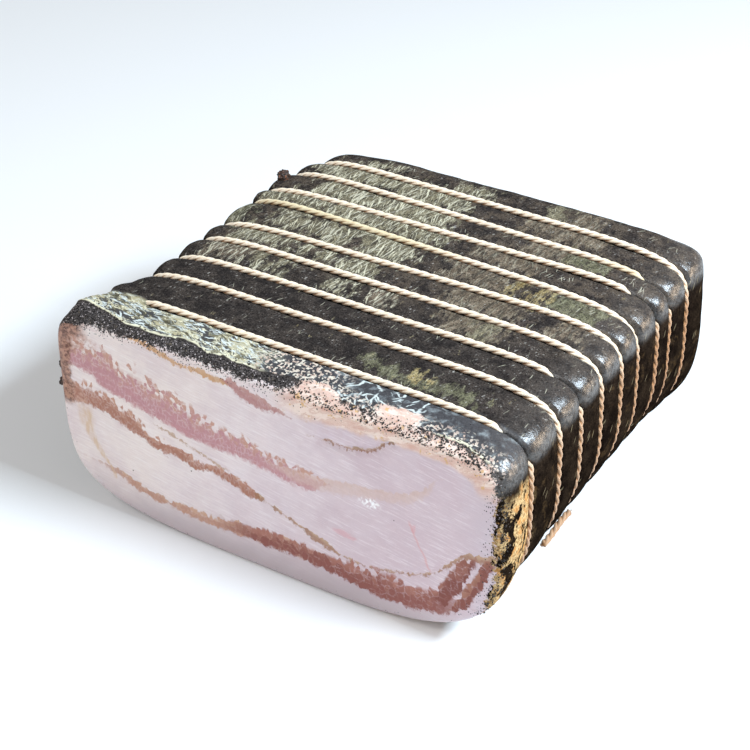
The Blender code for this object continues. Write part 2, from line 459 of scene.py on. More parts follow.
@dataclass(frozen=True)
class SlabForm:
    """The shape of the slab, as the solids have it, with the origin under its middle."""

    shift: tuple[float, float] = (1.142 * MM, -1.45 * MM)
    front_y: float = -96.7 * MM
    back_y: float = 96.0 * MM
    back_skew: float = 0.033
    centre_x: float = 9.0 * MM
    centre_z: float = 59.4 * MM
    right_half: float = 96.8 * MM
    left_half: float = 100.5 * MM
    left_flare: float = 18.5 * MM
    right_flare: float = 2.0 * MM
    flare_length: float = 20.0 * MM
    left_back_taper: float = 13.0 * MM
    taper_start_y: float = 38.0 * MM
    upper_half: float = 38.7 * MM
    lower_half: float = 57.7 * MM
    upper_right_power: float = 6.2
    lower_right_power: float = 2.5
    lower_right_end_power: float = 3.2
    upper_left_power: float = 8.0
    lower_left_power: float = 3.6
    lower_left_front_power: float = 4.2
    front_round: float = 5.5 * MM
    front_foot_round: float = 2.2 * MM
    back_top_round: float = 16.0 * MM
    back_foot_round: float = 12.0 * MM
    back_left_round: float = 26.0 * MM
    back_right_round: float = 16.0 * MM
    back_dome: float = 3.0 * MM
    turns: tuple[tuple[float, float], ...] = (
        (-73.6 * MM, -0.009),
        (-49.8 * MM, 0.001),
        (-31.8 * MM, 0.004),
        (-13.2 * MM, 0.004),
        (3.3 * MM, 0.022),
        (23.0 * MM, -0.025),
        (38.3 * MM, 0.016),
        (53.9 * MM, -0.017),
        (70.3 * MM, -0.004),
    )
    level_sink: float = 0.2 * MM
    top_swell: float = 0.7 * MM
    side_swell: float = 1.5 * MM
    corner_swell: float = 2.6 * MM
    lower_right_share: float = 0.15
    floor_fill: float = 1.6 * MM
    groove_floor: float = 1.5 * MM
    groove_inner: float = 0.9 * MM
    groove_outer: float = 2.7 * MM
    crease_floor: float = 0.9 * MM
    crease_inner: float = 0.15 * MM
    crease_outer: float = 1.1 * MM
    creased_turns: tuple[int, ...] = (1, 3, 7, 8)
    crease_span: tuple[float, float, float, float] = (31.0, 35.0, 45.5, 49.0)
    film_cover: tuple[float, float] = (-80.0 * MM, -71.0 * MM)
    film_floor: float = 1.6 * MM
    film_bulge: float = 3.0 * MM
    bulge_start: tuple[float, float] = (-93.0 * MM, -83.0 * MM)
    bulge_end: tuple[float, float] = (-61.0 * MM, -70.0 * MM)

    def flare(self, y: float) -> float:
        """The share of the cut face's flare that is left at depth y."""
        return math.exp(-(y - self.front_y) / self.flare_length)

    def end_inset(self, y: float, front_round: float, back_round: float) -> float:
        """How far one side is drawn in by the rounding of either end.

        Args:
            y: The depth.
            front_round: The radius at the cut.
            back_round: The radius at the far end.

        Returns:
            The inset.
        """
        for end, radius, toward in ((self.front_y, front_round, 1.0), (self.back_y, back_round, -1.0)):
            depth = (y - end) * toward
            if depth < radius:
                return radius - math.sqrt(max(0.0, radius ** 2 - (radius - depth) ** 2))
        return 0.0

    def quarter(self, side: float, level: float, y: float) -> tuple[float, float, float]:
        """The quarter of the section that a direction points into.

        Args:
            side: The direction's X.
            level: The direction's Z.
            y: The depth.

        Returns:
            The half width, the half height and the superellipse power.
        """
        if side >= 0.0:
            half_width = (self.right_half + self.right_flare * self.flare(y)
                          - self.end_inset(y, self.front_round, self.back_right_round))
            ends = max(self.flare(y), smooth_step(self.taper_start_y, self.back_y, y))
            lower = mix(self.lower_right_power, self.lower_right_end_power, ends)
            power = self.upper_right_power if level >= 0.0 else lower
        else:
            taper = self.left_back_taper * smooth_step(self.taper_start_y, self.back_y, y)
            half_width = (self.left_half + self.left_flare * self.flare(y) - taper
                          - self.end_inset(y, self.front_round, self.back_left_round))
            lower = mix(self.lower_left_power, self.lower_left_front_power, self.flare(y))
            power = self.upper_left_power if level >= 0.0 else lower
        if level >= 0.0:
            half_height = self.upper_half - self.end_inset(y, self.front_round, self.back_top_round)
        else:
            half_height = self.lower_half - self.end_inset(y, self.front_foot_round, self.back_foot_round)
        return half_width, half_height, power

    def tie_line(self, side: float, level: float, y: float) -> tuple[Vector, Vector]:
        """Where twine would lie on the section at depth y.

        Args:
            side: The direction's X, on the edge of a square from -1 to 1.
            level: The direction's Z, on the same edge.
            y: The depth.

        Returns:
            The point, and the way out of the slab there.
        """
        half_width, half_height, power = self.quarter(side, level, y)
        reach = (abs(side) ** power + abs(level) ** power) ** (-1.0 / power)
        across = side * reach
        up = level * reach
        out = Vector((math.copysign(abs(across) ** (power - 1.0), across) / half_width, 0.0,
                      math.copysign(abs(up) ** (power - 1.0), up) / half_height)).normalized()
        return Vector((self.centre_x + across * half_width, 0.0, self.centre_z + up * half_height)), out

    def skew_at(self, y: float) -> float:
        """How much the section at depth y slants.

        Args:
            y: The depth.

        Returns:
            The depth gained for each metre to the right.
        """
        stops = [(self.front_y, 0.0), *self.turns, (self.back_y, self.back_skew)]
        for (y_0, skew_0), (y_1, skew_1) in zip(stops, stops[1:]):
            if y <= y_1:
                return mix(skew_0, skew_1, max(0.0, (y - y_0) / (y_1 - y_0)))
        return 0.0

    def pillow(self, y: float) -> tuple[float, float]:
        """How the slab swells between turns at depth y.

        Args:
            y: The depth.

        Returns:
            The height of the swelling, 0 to 1, and the distance to the nearest turn.
        """
        nearest = min(abs(y - turn[0]) for turn in self.turns)
        before = max((turn[0] for turn in self.turns if turn[0] < y), default=None)
        after = min((turn[0] for turn in self.turns if turn[0] >= y), default=None)
        if before is None:
            along = min(1.0, (after - y) / (after - self.front_y)) * 0.5
        elif after is None:
            along = min(1.0, (y - before) / (self.back_y - self.back_top_round - before)) * 0.5
        else:
            along = (y - before) / (after - before)
        height = math.sqrt(max(0.0, 1.0 - (2.0 * along - 1.0) ** 2))
        if before is None:
            height *= mix(1.0, 0.25, smooth_step(0.25, 0.5, along))
        return height, nearest

    def creased(self, number: int, side: float, level: float) -> float:
        """How far a turn is buried in the crease of the upper right corner.

        Args:
            number: Which turn it is, from the front.
            side: The direction's X.
            level: The direction's Z.

        Returns:
            0 where the twine lies open, 1 where it is buried.
        """
        if number not in self.creased_turns:
            return 0.0
        angle = math.degrees(math.atan2(level, side))
        first, full, still_full, last = self.crease_span
        return smooth_step(first, full, angle) * (1.0 - smooth_step(still_full, last, angle))

    def film_over(self, number: int, side: float, level: float) -> float:
        """How far the casing covers a turn: only the front one, round its upper left corner.

        Args:
            number: Which turn it is, from the front.
            side: The direction's X, on the edge of a square from -1 to 1.
            level: The direction's Z, on the same edge.

        Returns:
            0 where the twine lies open, 1 where it is covered.
        """
        if number != 1 or side > -0.5:
            return 0.0
        tie = self.tie_line(side, level, self.turns[0][0])[0]
        return smooth_step(self.film_cover[1], self.film_cover[0], tie.x) * smooth_step(-0.5, 0.0, level)

    def relief(self, side: float, level: float, out: Vector, y: float) -> tuple[float, float]:
        """The height of the skin over the tie line.

        Args:
            side: The direction's X, on the edge of a square from -1 to 1.
            level: The direction's Z, on the same edge.
            out: The way out of the slab.
            y: The depth.

        Returns:
            The height, and how far out of a groove the point is, 0 to 1.
        """
        height, nearest = self.pillow(y)
        number = 1 + min(range(len(self.turns)), key=lambda index: abs(y - self.turns[index][0]))
        buried = self.creased(number, side, level)
        covered = self.film_over(number, side, level)
        corner = 4.0 * out.x * out.x * out.z * out.z
        bulge = 0.0
        if out.x < 0.0 < out.z:
            bulge = (self.film_bulge * corner * smooth_step(*self.bulge_start, y)
                     * smooth_step(*self.bulge_end, y))
        if out.x > 0.0 > out.z:
            corner *= self.lower_right_share
        swell = self.top_swell + self.side_swell * out.x * out.x + self.corner_swell * corner
        under = self.floor_fill * max(0.0, -out.z) ** 2
        inner = mix(self.groove_inner, self.crease_inner, buried)
        outer = mix(self.groove_outer, self.crease_outer, buried)
        clear = smooth_step(inner, outer, nearest)
        floor = mix(-mix(self.groove_floor, self.crease_floor, buried), self.film_floor, covered)
        level = mix(floor, -self.level_sink + swell * height + under, clear)
        return level + bulge * max(clear, covered), max(clear, covered)

    def moved(self, point: Vector) -> Vector:
        """A point brought into the frame whose origin is under the slab's middle."""
        return point + Vector((*self.shift, 0.0))

    def kept_in(self, point: Vector, size: float = 0.0) -> Vector:
        """A point brought inside the box of the solids.

        Args:
            point: The point.
            size: How far inside it stays.

        Returns:
            The point, moved along each axis that it was too far out on.
        """
        spans = zip(point, *CAD_BOX)
        return Vector(min(max(here, least + size), most - size) for here, least, most in spans)


@dataclass(frozen=True)
class Seam:
    """A dark crease or a low step in the cut face."""

    path: tuple[tuple[float, float], ...]
    depth: float
    width: float


@dataclass
class Slab:
    """The slab itself, with its cut face, rind, casing lip and grooves."""

    form: SlabForm
    across: int = 84
    upright: int = 40
    crowding: float = 0.65
    groove_step: float = 0.5 * MM
    pillow_step: float = 0.95 * MM
    front_step: float = 0.45 * MM
    front_zone: float = 15.0 * MM
    groove_reach: float = 4.4 * MM
    front_steps: int = 12
    back_steps: int = 13
    lump_size: float = 22.0 * MM
    lump_height: float = 0.55 * MM
    ripple_size: float = 6.0 * MM
    ripple_height: float = 0.28 * MM
    lip_height: float = 0.75 * MM
    lip_front: float = 0.25 * MM
    lip_back: float = 0.9 * MM
    crumple_size: float = 5.0 * MM
    crumple_height: float = 0.7 * MM
    band_sink: float = 0.5 * MM
    film_edge: tuple[tuple[float, float], ...] = (
        (-96.0, 11.0), (-90.0, 9.6), (-82.0, 8.0), (-73.0, 4.9), (-66.0, 5.2), (-56.0, 5.0), (-45.0, 7.3),
        (-38.0, 6.4), (-30.0, 4.4), (-24.0, 5.6), (-16.0, 4.8), (-5.0, 4.4), (10.0, 7.2), (28.0, 4.2),
        (45.0, 3.4), (64.0, 3.4), (78.0, 4.6), (87.0, 5.0), (95.0, 3.0), (104.0, 2.4))
    seams: tuple[Seam, ...] = (
        Seam(((21.0, 79.0), (27.0, 79.2), (37.0, 79.0), (42.0, 80.2), (49.0, 82.6), (54.0, 86.6),
              (59.0, 90.2), (66.0, 94.3)), 1.3 * MM, 1.5),
        Seam(((-8.0, 38.8), (4.0, 33.8), (16.0, 29.9), (28.6, 25.7), (38.0, 23.4), (48.0, 23.6), (59.0, 25.8),
              (75.0, 31.9), (82.0, 38.3), (88.0, 44.8), (92.0, 47.8), (104.0, 51.0)), 0.55 * MM, 1.1),
        Seam(((-100.0, 56.0), (-86.0, 56.0), (-76.0, 52.0), (-61.0, 45.8), (-45.0, 45.0), (-25.0, 44.0),
              (-8.0, 38.8)), 0.5 * MM, 1.6),
    )

    def stations(self) -> list[float]:
        """Spaces the mesh's sections, closest at the cut and in the grooves.

        Returns:
            Their depths, from the cut to the far end.
        """
        form = self.form
        half_turns = 2.0 * (self.front_steps - 1)
        places = [form.front_y + form.front_round * (1.0 - math.cos(step * math.pi / half_turns))
                  for step in range(self.front_steps)]
        stop = form.back_y - form.back_top_round
        while places[-1] < stop - self.groove_step:
            y = places[-1]
            nearest = min(abs(y - turn[0]) for turn in form.turns)
            if y < form.front_y + self.front_zone:
                step = self.front_step
            else:
                step = self.groove_step if nearest < self.groove_reach else self.pillow_step
            places.append(y + step)
        quarter = math.pi / 2.0 / (self.back_steps - 1)
        return places + [form.back_y - form.back_top_round * (1.0 - math.sin(step * quarter))
                         for step in range(1, self.back_steps)]

    def crowd(self, share: float) -> float:
        """Moves an even division between -1 and 1 towards the corner it is nearest to."""
        return mix(share, math.sin(share * math.pi / 2.0), self.crowding)

    def film_y(self, x: float) -> float:
        """How far behind the cut the casing's edge lies on the top, at x.

        Args:
            x: The position across the slab.

        Returns:
            The distance along Y.
        """
        wobble = noise.noise(Vector((x / (7.0 * MM), 3.1, 0.0))) * 0.9 * MM
        return along_path(self.film_edge, x / MM) * MM + wobble

    def skin(self, side: float, level: float, y: float) -> tuple[Vector, dict[str, float]]:
        """A point of the rind.

        Args:
            side: The direction's X, on the edge of a square from -1 to 1.
            level: The direction's Z, on the same edge.
            y: The depth.

        Returns:
            The point, and the values kept there for the finish.
        """
        form = self.form
        tie, out = form.tie_line(side, level, y)
        height, clear = form.relief(side, level, out, y)
        behind = y - form.front_y
        spot = Vector((tie.x, y, tie.z))
        free = max(0.0, out.z + 0.6) / 1.6 if out.z < 0.0 else 1.0
        lumps = (noise.noise(spot / self.lump_size) - 0.35) * self.lump_height
        lumps += noise.noise(spot / self.ripple_size + Vector((7.0, 0.0, 0.0))) * self.ripple_height
        height += lumps * free * mix(0.25, 1.0, clear) * smooth_step(0.0, 6.0 * MM, behind)
        top = smooth_step(0.5, 0.9, out.z)
        past = behind - self.film_y(tie.x)
        lip = math.exp(-(past / (self.lip_back if past > 0.0 else self.lip_front)) ** 2)
        under = smooth_step(0.0, -0.5 * MM, past) * smooth_step(0.0, 2.5 * MM, behind)
        film = smooth_step(0.0, 1.0 * MM, past) * smooth_step(18.0 * MM, 8.0 * MM, past)
        folds = Vector((spot.x * 0.8 + spot.y, spot.y * 1.6, 0.0)) / self.crumple_size
        crumple = max(0.0, 1.0 - abs(noise.noise(folds)) * 3.2)
        folded = self.crumple_height * film * crumple
        height += top * (self.lip_height * lip - self.band_sink * under + folded)
        point = tie + out * height
        point.y = y + form.skew_at(y) * (point.x - form.centre_x)
        point.z = max(point.z, 0.0)
        point = form.kept_in(form.moved(point))
        arc = behind if behind > form.front_round else form.front_round * math.acos(
            max(-1.0, min(1.0, 1.0 - behind / form.front_round)))
        return point, {"rim": arc / MM, "clear": clear, "past": past / MM,
                       "corner": 2.0 * max(0.0, out.x) * max(0.0, out.z), "upward": out.z}

    def cut(self, side: float, level: float) -> tuple[Vector, dict[str, float]]:
        """A point of the cut face.

        Args:
            side: The direction's X, inside a square from -1 to 1.
            level: The direction's Z, inside the same square.

        Returns:
            The point, and the values kept there for the finish.
        """
        form = self.form
        ring = max(abs(side), abs(level))
        centre = form.moved(Vector((form.centre_x, form.front_y, form.centre_z)))
        values = {"rim": -40.0, "clear": 1.0, "past": -20.0, "corner": 0.0, "upward": 0.0}
        if ring == 0.0:
            return centre, values
        rim, values = self.skin(self.crowd(side / ring), self.crowd(level / ring), form.front_y)
        share = self.crowd(ring)
        point = centre.lerp(rim, share)
        values = self.faded(values, share)
        values["rim"] = -(rim - point).length / MM
        inner = smooth_step(0.0, -8.0, values["rim"])
        swell = noise.noise(point / (30.0 * MM)) * 0.5 * MM + noise.noise(point / (9.0 * MM)) * 0.18 * MM
        point.y += (swell + self.seam_depth(point)) * inner
        return form.kept_in(point), values

    def seam_depth(self, point: Vector) -> float:
        """How deep the cut face's creases are.

        Args:
            point: A point of the cut face.

        Returns:
            The depth there.
        """
        depth = 0.0
        for seam in self.seams:
            x = point.x / MM - MARKS_X
            if seam.path[0][0] < x < seam.path[-1][0]:
                ends = smooth_step(0.0, 8.0, min(x - seam.path[0][0], seam.path[-1][0] - x))
                off = (point.z / MM - along_path(seam.path, x)) / seam.width
                depth += seam.depth * ends * math.exp(-off * off) * (1.6 if off > 0.0 else 1.0)
        return depth

    def faded(self, values: dict[str, float], share: float) -> dict[str, float]:
        """The rim's values faded towards the middle of an end.

        Args:
            values: The values at the rim.
            share: How far out from the middle the point is, 0 to 1.

        Returns:
            The point's values.
        """
        return {**values, "corner": values["corner"] * smooth_step(0.75, 1.0, share),
                "upward": values["upward"] * smooth_step(0.25, 1.0, share)}

    def far_end(self, side: float, level: float) -> tuple[Vector, dict[str, float]]:
        """A point of the far end.

        Args:
            side: The direction's X, inside a square from -1 to 1.
            level: The direction's Z, inside the same square.

        Returns:
            The point, and the values kept there for the finish.
        """
        form = self.form
        ring = max(abs(side), abs(level))
        centre = form.moved(Vector((form.centre_x, form.back_y, form.centre_z)))
        values = {"rim": 190.0, "clear": 1.0, "past": 190.0, "corner": 0.0, "upward": 0.0}
        if ring == 0.0:
            return centre + Vector((0.0, form.back_dome, 0.0)), values
        rim, values = self.skin(self.crowd(side / ring), self.crowd(level / ring), form.back_y)
        share = self.crowd(ring)
        point = centre.lerp(rim, share)
        values = self.faded(values, share)
        point.y += form.back_dome * (1.0 - share * share)
        point.y += (noise.noise(point / self.lump_size) - 0.4) * 0.8 * MM * (1.0 - share)
        return form.kept_in(point), values

    def build(self, finish: bpy.types.Material) -> bpy.types.Object:
        """Models the slab.

        Args:
            finish: Its material.

        Returns:
            The slab's object.
        """
        stations = self.stations()
        pieces = len(stations) - 1
        mesh = bmesh.new()
        bmesh.ops.create_cube(mesh, size=2.0)
        for axis, count in enumerate((self.across, pieces, self.upright)):
            edges = [edge for edge in mesh.edges
                     if abs(edge.verts[0].co[axis] - edge.verts[1].co[axis]) > 1.5]
            bmesh.ops.subdivide_edges(mesh, edges=edges, cuts=count - 1, use_grid_fill=True)
        names = ("rim", "clear", "past", "corner", "upward")
        layers = {name: mesh.verts.layers.float.new(name) for name in names}
        for vert in mesh.verts:
            side, along, level = vert.co
            if along < -0.9999:
                vert.co, values = self.cut(side, level)
            elif along > 0.9999:
                vert.co, values = self.far_end(side, level)
            else:
                y = stations[round((along + 1.0) / 2.0 * pieces)]
                vert.co, values = self.skin(self.crowd(side), self.crowd(level), y)
            for name, value in values.items():
                vert[layers[name]] = value
        bmesh.ops.recalc_face_normals(mesh, faces=mesh.faces)
        slab = new_piece("lardo_slab", mesh, finish)
        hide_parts("lardo_block")
        return slab


def new_piece(name: str, mesh: bmesh.types.BMesh, finish: bpy.types.Material) -> bpy.types.Object:
    """Makes an object of a mesh, rides it on the slab's body and gives it its finish.

    Args:
        name: The object's name.
        mesh: The mesh, which is used up.
        finish: The material.

    Returns:
        The object.
    """
    data = bpy.data.meshes.new(name)
    mesh.to_mesh(data)
    mesh.free()
    data.shade_smooth()
    data.materials.append(finish)
    piece = bpy.data.objects.new(name, data)
    bpy.context.scene.collection.objects.link(piece)
    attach(piece, "root")
    return piece


# The twine

@dataclass
class Twine:
    """Three-ply butcher's twine."""

    form: SlabForm
    radius: float = 1.5 * MM
    strand_share: float = 0.54
    offset_share: float = 0.46
    ring_points: int = 1600
    lay: float = 14.1 * MM
    points_per_lay: int = 15
    round_points: int = 18
    twist: Twist = Twist.LEFT
    crease_sink: float = 3.2 * MM
    film_sink: float = 1.6 * MM
    wobble: float = 0.35 * MM

    def lobe(self, angle: float) -> float:
        """The outline of three strands.

        Args:
            angle: The angle about the twine's middle.

        Returns:
            The outline's radius there, as a share of the twine's radius.
        """
        off = (angle + math.pi / 3.0) % (2.0 * math.pi / 3.0) - math.pi / 3.0
        inset = self.offset_share * math.sin(off)
        return self.offset_share * math.cos(off) + math.sqrt(max(0.0, self.strand_share ** 2 - inset ** 2))

    def ring(self, number: int, depth: float, skew: float) -> tuple[list[Vector], list[Vector]]:
        """The middle line of one turn.

        Args:
            number: Which turn it is, from the front.
            depth: Its depth on the slab's middle.
            skew: Its slant.

        Returns:
            The points, and the way out of the slab at each.
        """
        points = []
        outs = []
        for step in range(self.ring_points):
            angle = -2.0 * math.pi * step / self.ring_points
            side, level = math.cos(angle), math.sin(angle)
            ring = max(abs(side), abs(level))
            side, level = side / ring, level / ring
            tie, out = self.form.tie_line(side, level, depth)
            tie -= out * self.crease_sink * self.form.creased(number, side, level)
            tie -= out * self.film_sink * self.form.film_over(number, side, level)
            tie.y = depth + skew * (tie.x - self.form.centre_x)
            tie.y += noise.noise(Vector((side * 2.2, level * 2.2, number * 3.7))) * self.wobble
            points.append(self.form.moved(tie))
            outs.append(out)
        return points, outs

    def resampled(self, points: list[Vector], outs: list[Vector],
                  closed: bool) -> tuple[list[Vector], list[Vector]]:
        """Spaces a line's points evenly.

        Args:
            points: The line's points.
            outs: The way out at each.
            closed: Whether the line joins up; it then gets a whole number of lays.

        Returns:
            The new points, and the way out at each.
        """
        chain = points + points[:1] if closed else points
        ways = outs + outs[:1] if closed else outs
        reach = [0.0]
        for start, end in zip(chain, chain[1:]):
            reach.append(reach[-1] + (end - start).length)
        lays = max(1, round(reach[-1] / self.lay))
        count = lays * self.points_per_lay
        spots, directions = [], []
        place = 0
        for step in range(count if closed else count + 1):
            goal = reach[-1] * step / count
            while place < len(reach) - 2 and reach[place + 1] < goal:
                place += 1
            share = (goal - reach[place]) / (reach[place + 1] - reach[place])
            spots.append(chain[place].lerp(chain[place + 1], share))
            directions.append(ways[place].lerp(ways[place + 1], share).normalized())
        return spots, directions

    def sweep(self, name: str, points: list[Vector], outs: list[Vector], closed: bool,
              finish: bpy.types.Material) -> bpy.types.Object:
        """Lays the twisted strands along a line.

        Args:
            name: The piece's name.
            points: The line's points, evenly spaced.
            outs: The way out of the slab at each.
            closed: Whether the line joins up.
            finish: The twine's material.

        Returns:
            The twine's object.
        """
        count = len(points)
        rows = count if closed else count - 1
        mesh = bmesh.new()
        bmesh.ops.create_grid(mesh, x_segments=rows, y_segments=self.round_points, size=1.0)
        names = ("facing", "front", "valley", "run", "strand")
        layers = {key: mesh.verts.layers.float.new(key) for key in names}
        spacing = (points[1] - points[0]).length
        for vert in mesh.verts:
            row = round((vert.co.x + 1.0) / 2.0 * rows)
            spoke = round((vert.co.y + 1.0) / 2.0 * self.round_points)
            here = points[row % count]
            ahead = points[(row + 1) % count] if closed else points[min(row + 1, count - 1)]
            behind = points[row - 1] if closed else points[max(row - 1, 0)]
            tangent = (ahead - behind).normalized()
            out = (outs[row % count] - tangent * outs[row % count].dot(tangent)).normalized()
            across = tangent.cross(out)
            strand = 2.0 * math.pi * (spoke % self.round_points) / self.round_points
            angle = strand + self.twist.value * 2.0 * math.pi * row / self.points_per_lay
            lobe = self.lobe(strand)
            swell = 1.0 + 0.07 * noise.noise(Vector((row * spacing / (4.0 * MM), strand, here.y * 900.0)))
            reach = self.radius * min(1.0, lobe * swell)
            away = out * math.cos(angle) + across * math.sin(angle)
            vert.co = here + away * reach
            vert[layers["facing"]] = math.cos(angle)
            vert[layers["front"]] = -away.y if closed else -away.z
            vert[layers["valley"]] = 1.0 - lobe
            vert[layers["run"]] = row * spacing / MM
            vert[layers["strand"]] = strand
        bmesh.ops.remove_doubles(mesh, verts=mesh.verts, dist=0.02 * MM)
        if not closed:
            loose = [edge for edge in mesh.edges if edge.is_boundary]
            bmesh.ops.holes_fill(mesh, edges=loose, sides=0)
        bmesh.ops.recalc_face_normals(mesh, faces=mesh.faces)
        return new_piece(name, mesh, finish)

    def build_turns(self, finish: bpy.types.Material) -> list[bpy.types.Object]:
        """Models the nine turns.

        Args:
            finish: The twine's material.

        Returns:
            Their objects.
        """
        pieces = []
        for number, (depth, skew) in enumerate(self.form.turns, start=1):
            points, outs = self.resampled(*self.ring(number, depth, skew), closed=True)
            piece = self.sweep(f"twine_turn_{number}", points, outs, True, finish)
            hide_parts(f"string_loop_{number}")
            pieces.append(piece)
        return pieces


@dataclass
class TwineTail:
    """The loose end of the twine, with its frayed tip."""

    twine: Twine
    start_y: float = -38.5 * MM
    end_y: float = -62.0 * MM
    points: int = 40
    direction: tuple[float, float] = (1.0, -0.39)
    clearance: float = 0.3 * MM
    hairs: int = 16
    hair_length: float = 3.2 * MM
    hair_radius: float = 0.13 * MM

    def build(self, finish: bpy.types.Material) -> bpy.types.Object:
        """Models the loose end.

        Args:
            finish: The twine's material.

        Returns:
            Its object.
        """
        form = self.twine.form
        depths = [mix(self.start_y, self.end_y, step / (self.points - 1)) for step in range(self.points)]
        ties = [form.tie_line(*self.direction, y) for y in depths]
        height = max(form.relief(*self.direction, out, y)[0] for y, (_, out) in zip(depths, ties))
        points = []
        for step, (y, (tie, out)) in enumerate(zip(depths, ties)):
            point = tie + out * (height + self.twine.radius + self.clearance)
            point.y = y
            point.z += math.sin(step * 0.16) * 0.5 * MM
            points.append(form.moved(point))
        spots, outs = self.twine.resampled(points, [out for _, out in ties], closed=False)
        tail = self.twine.sweep("twine_tail", spots, outs, False, finish)
        self.add_fray(tail, spots[0], (spots[0] - spots[1]).normalized())
        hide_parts("string_tail")
        return tail

    def add_fray(self, tail: bpy.types.Object, tip: Vector, ahead: Vector) -> None:
        """Adds the frayed fibres to the tip.

        Args:
            tail: The tail's object.
            tip: Where the twine ends.
            ahead: The way it points there.
        """
        dice = random.Random(5)
        mesh = bmesh.new()
        mesh.from_mesh(tail.data)
        for _ in range(self.hairs):
            lean = Vector((dice.uniform(-0.45, 0.2), 0.0, dice.uniform(-0.5, 0.5)))
            length = self.hair_length * dice.uniform(0.5, 1.0)
            turn = (ahead + lean).normalized().to_track_quat("Z", "Y").to_matrix().to_4x4()
            root = tip + Vector((dice.uniform(-0.6, 0.6), 0.0, dice.uniform(-0.6, 0.6))) * MM
            place = Matrix.Translation(root) @ turn @ Matrix.Translation((0.0, 0.0, length * 0.4))
            bmesh.ops.create_cone(mesh, cap_ends=True, segments=5, radius1=self.hair_radius,
                                  radius2=self.hair_radius * 0.4, depth=length, matrix=place)
        mesh.to_mesh(tail.data)
        mesh.free()


# Crumbs and dried tags

@dataclass
class Crumbs:
    """Coarse black pepper on the rim of the cut and loose on the rind."""

    slab: Slab
    rim_count: int = 1500
    top_count: int = 500
    smallest: float = 0.16 * MM
    largest: float = 0.5 * MM
    top_largest: float = 0.3 * MM
    seed: int = 11

    def spots(self) -> Iterable[tuple[Vector, float]]:
        """Strews the crumbs, thickest behind the cut face.

        Returns:
            Where each lies, and its radius.
        """
        dice = random.Random(self.seed)
        form = self.slab.form
        for _ in range(self.rim_count):
            turn = dice.uniform(-0.22, 1.02)
            side, level = (1.0 - 2.0 * turn, 1.0) if turn > 0.0 else (1.0, 1.0 + turn * 8.0)
            film = self.slab.film_y(form.tie_line(side, level, form.front_y)[0].x)
            y = form.front_y + abs(dice.gauss(0.0, 0.6)) * max(3.0 * MM, film)
            point, _ = self.slab.skin(side, level, y)
            yield point, dice.uniform(self.smallest, self.largest)
        for _ in range(self.top_count):
            point, _ = self.slab.skin(dice.uniform(-0.95, 0.95), 1.0, dice.uniform(-80.0, 85.0) * MM)
            yield point, dice.uniform(self.smallest, self.top_largest)

    def build(self, finish: bpy.types.Material) -> bpy.types.Object:
        """Models all the crumbs as one piece.

        Args:
            finish: Their material.

        Returns:
            Their object.
        """
        dice = random.Random(self.seed + 1)
        mesh = bmesh.new()
        for point, size in self.spots():
            point = self.slab.form.kept_in(point, 1.3 * size)
            shape = Matrix.Diagonal((*(dice.uniform(0.6, 1.3) for _ in range(3)), 1.0))
            turn = Matrix.Rotation(dice.uniform(0.0, 6.28), 4, Vector((dice.random(), dice.random(), 1.0)))
            bmesh.ops.create_icosphere(mesh, subdivisions=1, radius=size,
                                       matrix=Matrix.Translation(point) @ turn @ shape)
        return new_piece("pepper_crumbs", mesh, finish)


@dataclass
class DriedTags:
    """Lumps of dried meat that stand out of the slab's left edge."""

    form: SlabForm
    places: tuple[tuple[tuple[float, float], float, float], ...] = (
        ((-1.0, 0.93), 47.0 * MM, 3.4 * MM),
        ((-1.0, 0.20), -93.0 * MM, 2.3 * MM),
        ((-1.0, -0.02), -93.5 * MM, 2.6 * MM),
    )
    outside: float = 0.2

    def build(self, finish: bpy.types.Material) -> bpy.types.Object:
        """Models the lumps as one piece.

        Args:
            finish: Their material.

        Returns:
            Their object.
        """
        mesh = bmesh.new()
        for direction, y, size in self.places:
            tie, out = self.form.tie_line(*direction, y)
            centre = tie + out * (self.form.relief(*direction, out, y)[0] + size * self.outside)
            centre.y = y + self.form.skew_at(y) * (tie.x - self.form.centre_x)
            lump = bmesh.ops.create_icosphere(mesh, subdivisions=4, radius=size,
                                              matrix=Matrix.Translation(self.form.moved(centre)))
            for vert in lump["verts"]:
                ray = vert.co - self.form.moved(centre)
                rough = noise.noise(ray * 900.0 + centre * 50.0) * 0.28 + noise.noise(ray * 2600.0) * 0.12
                vert.co = self.form.kept_in(vert.co + ray * (rough - 0.12))
        return new_piece("dried_tags", mesh, finish)


# Finishes of the slab

@dataclass(frozen=True)
class Streak:
    """One band of lean in the cut face: its middle line and half thickness, in millimetres."""

    middle: tuple[tuple[float, float], ...]
    half: tuple[tuple[float, float], ...]
    colour: Colour
    tips: Colour
    broken: float = 0.3
    gaps: float = 0.4
    soft: float = 0.5
    strength: float = 0.95
    fade: float = 1.5
    grain: Grain = Grain.FINE


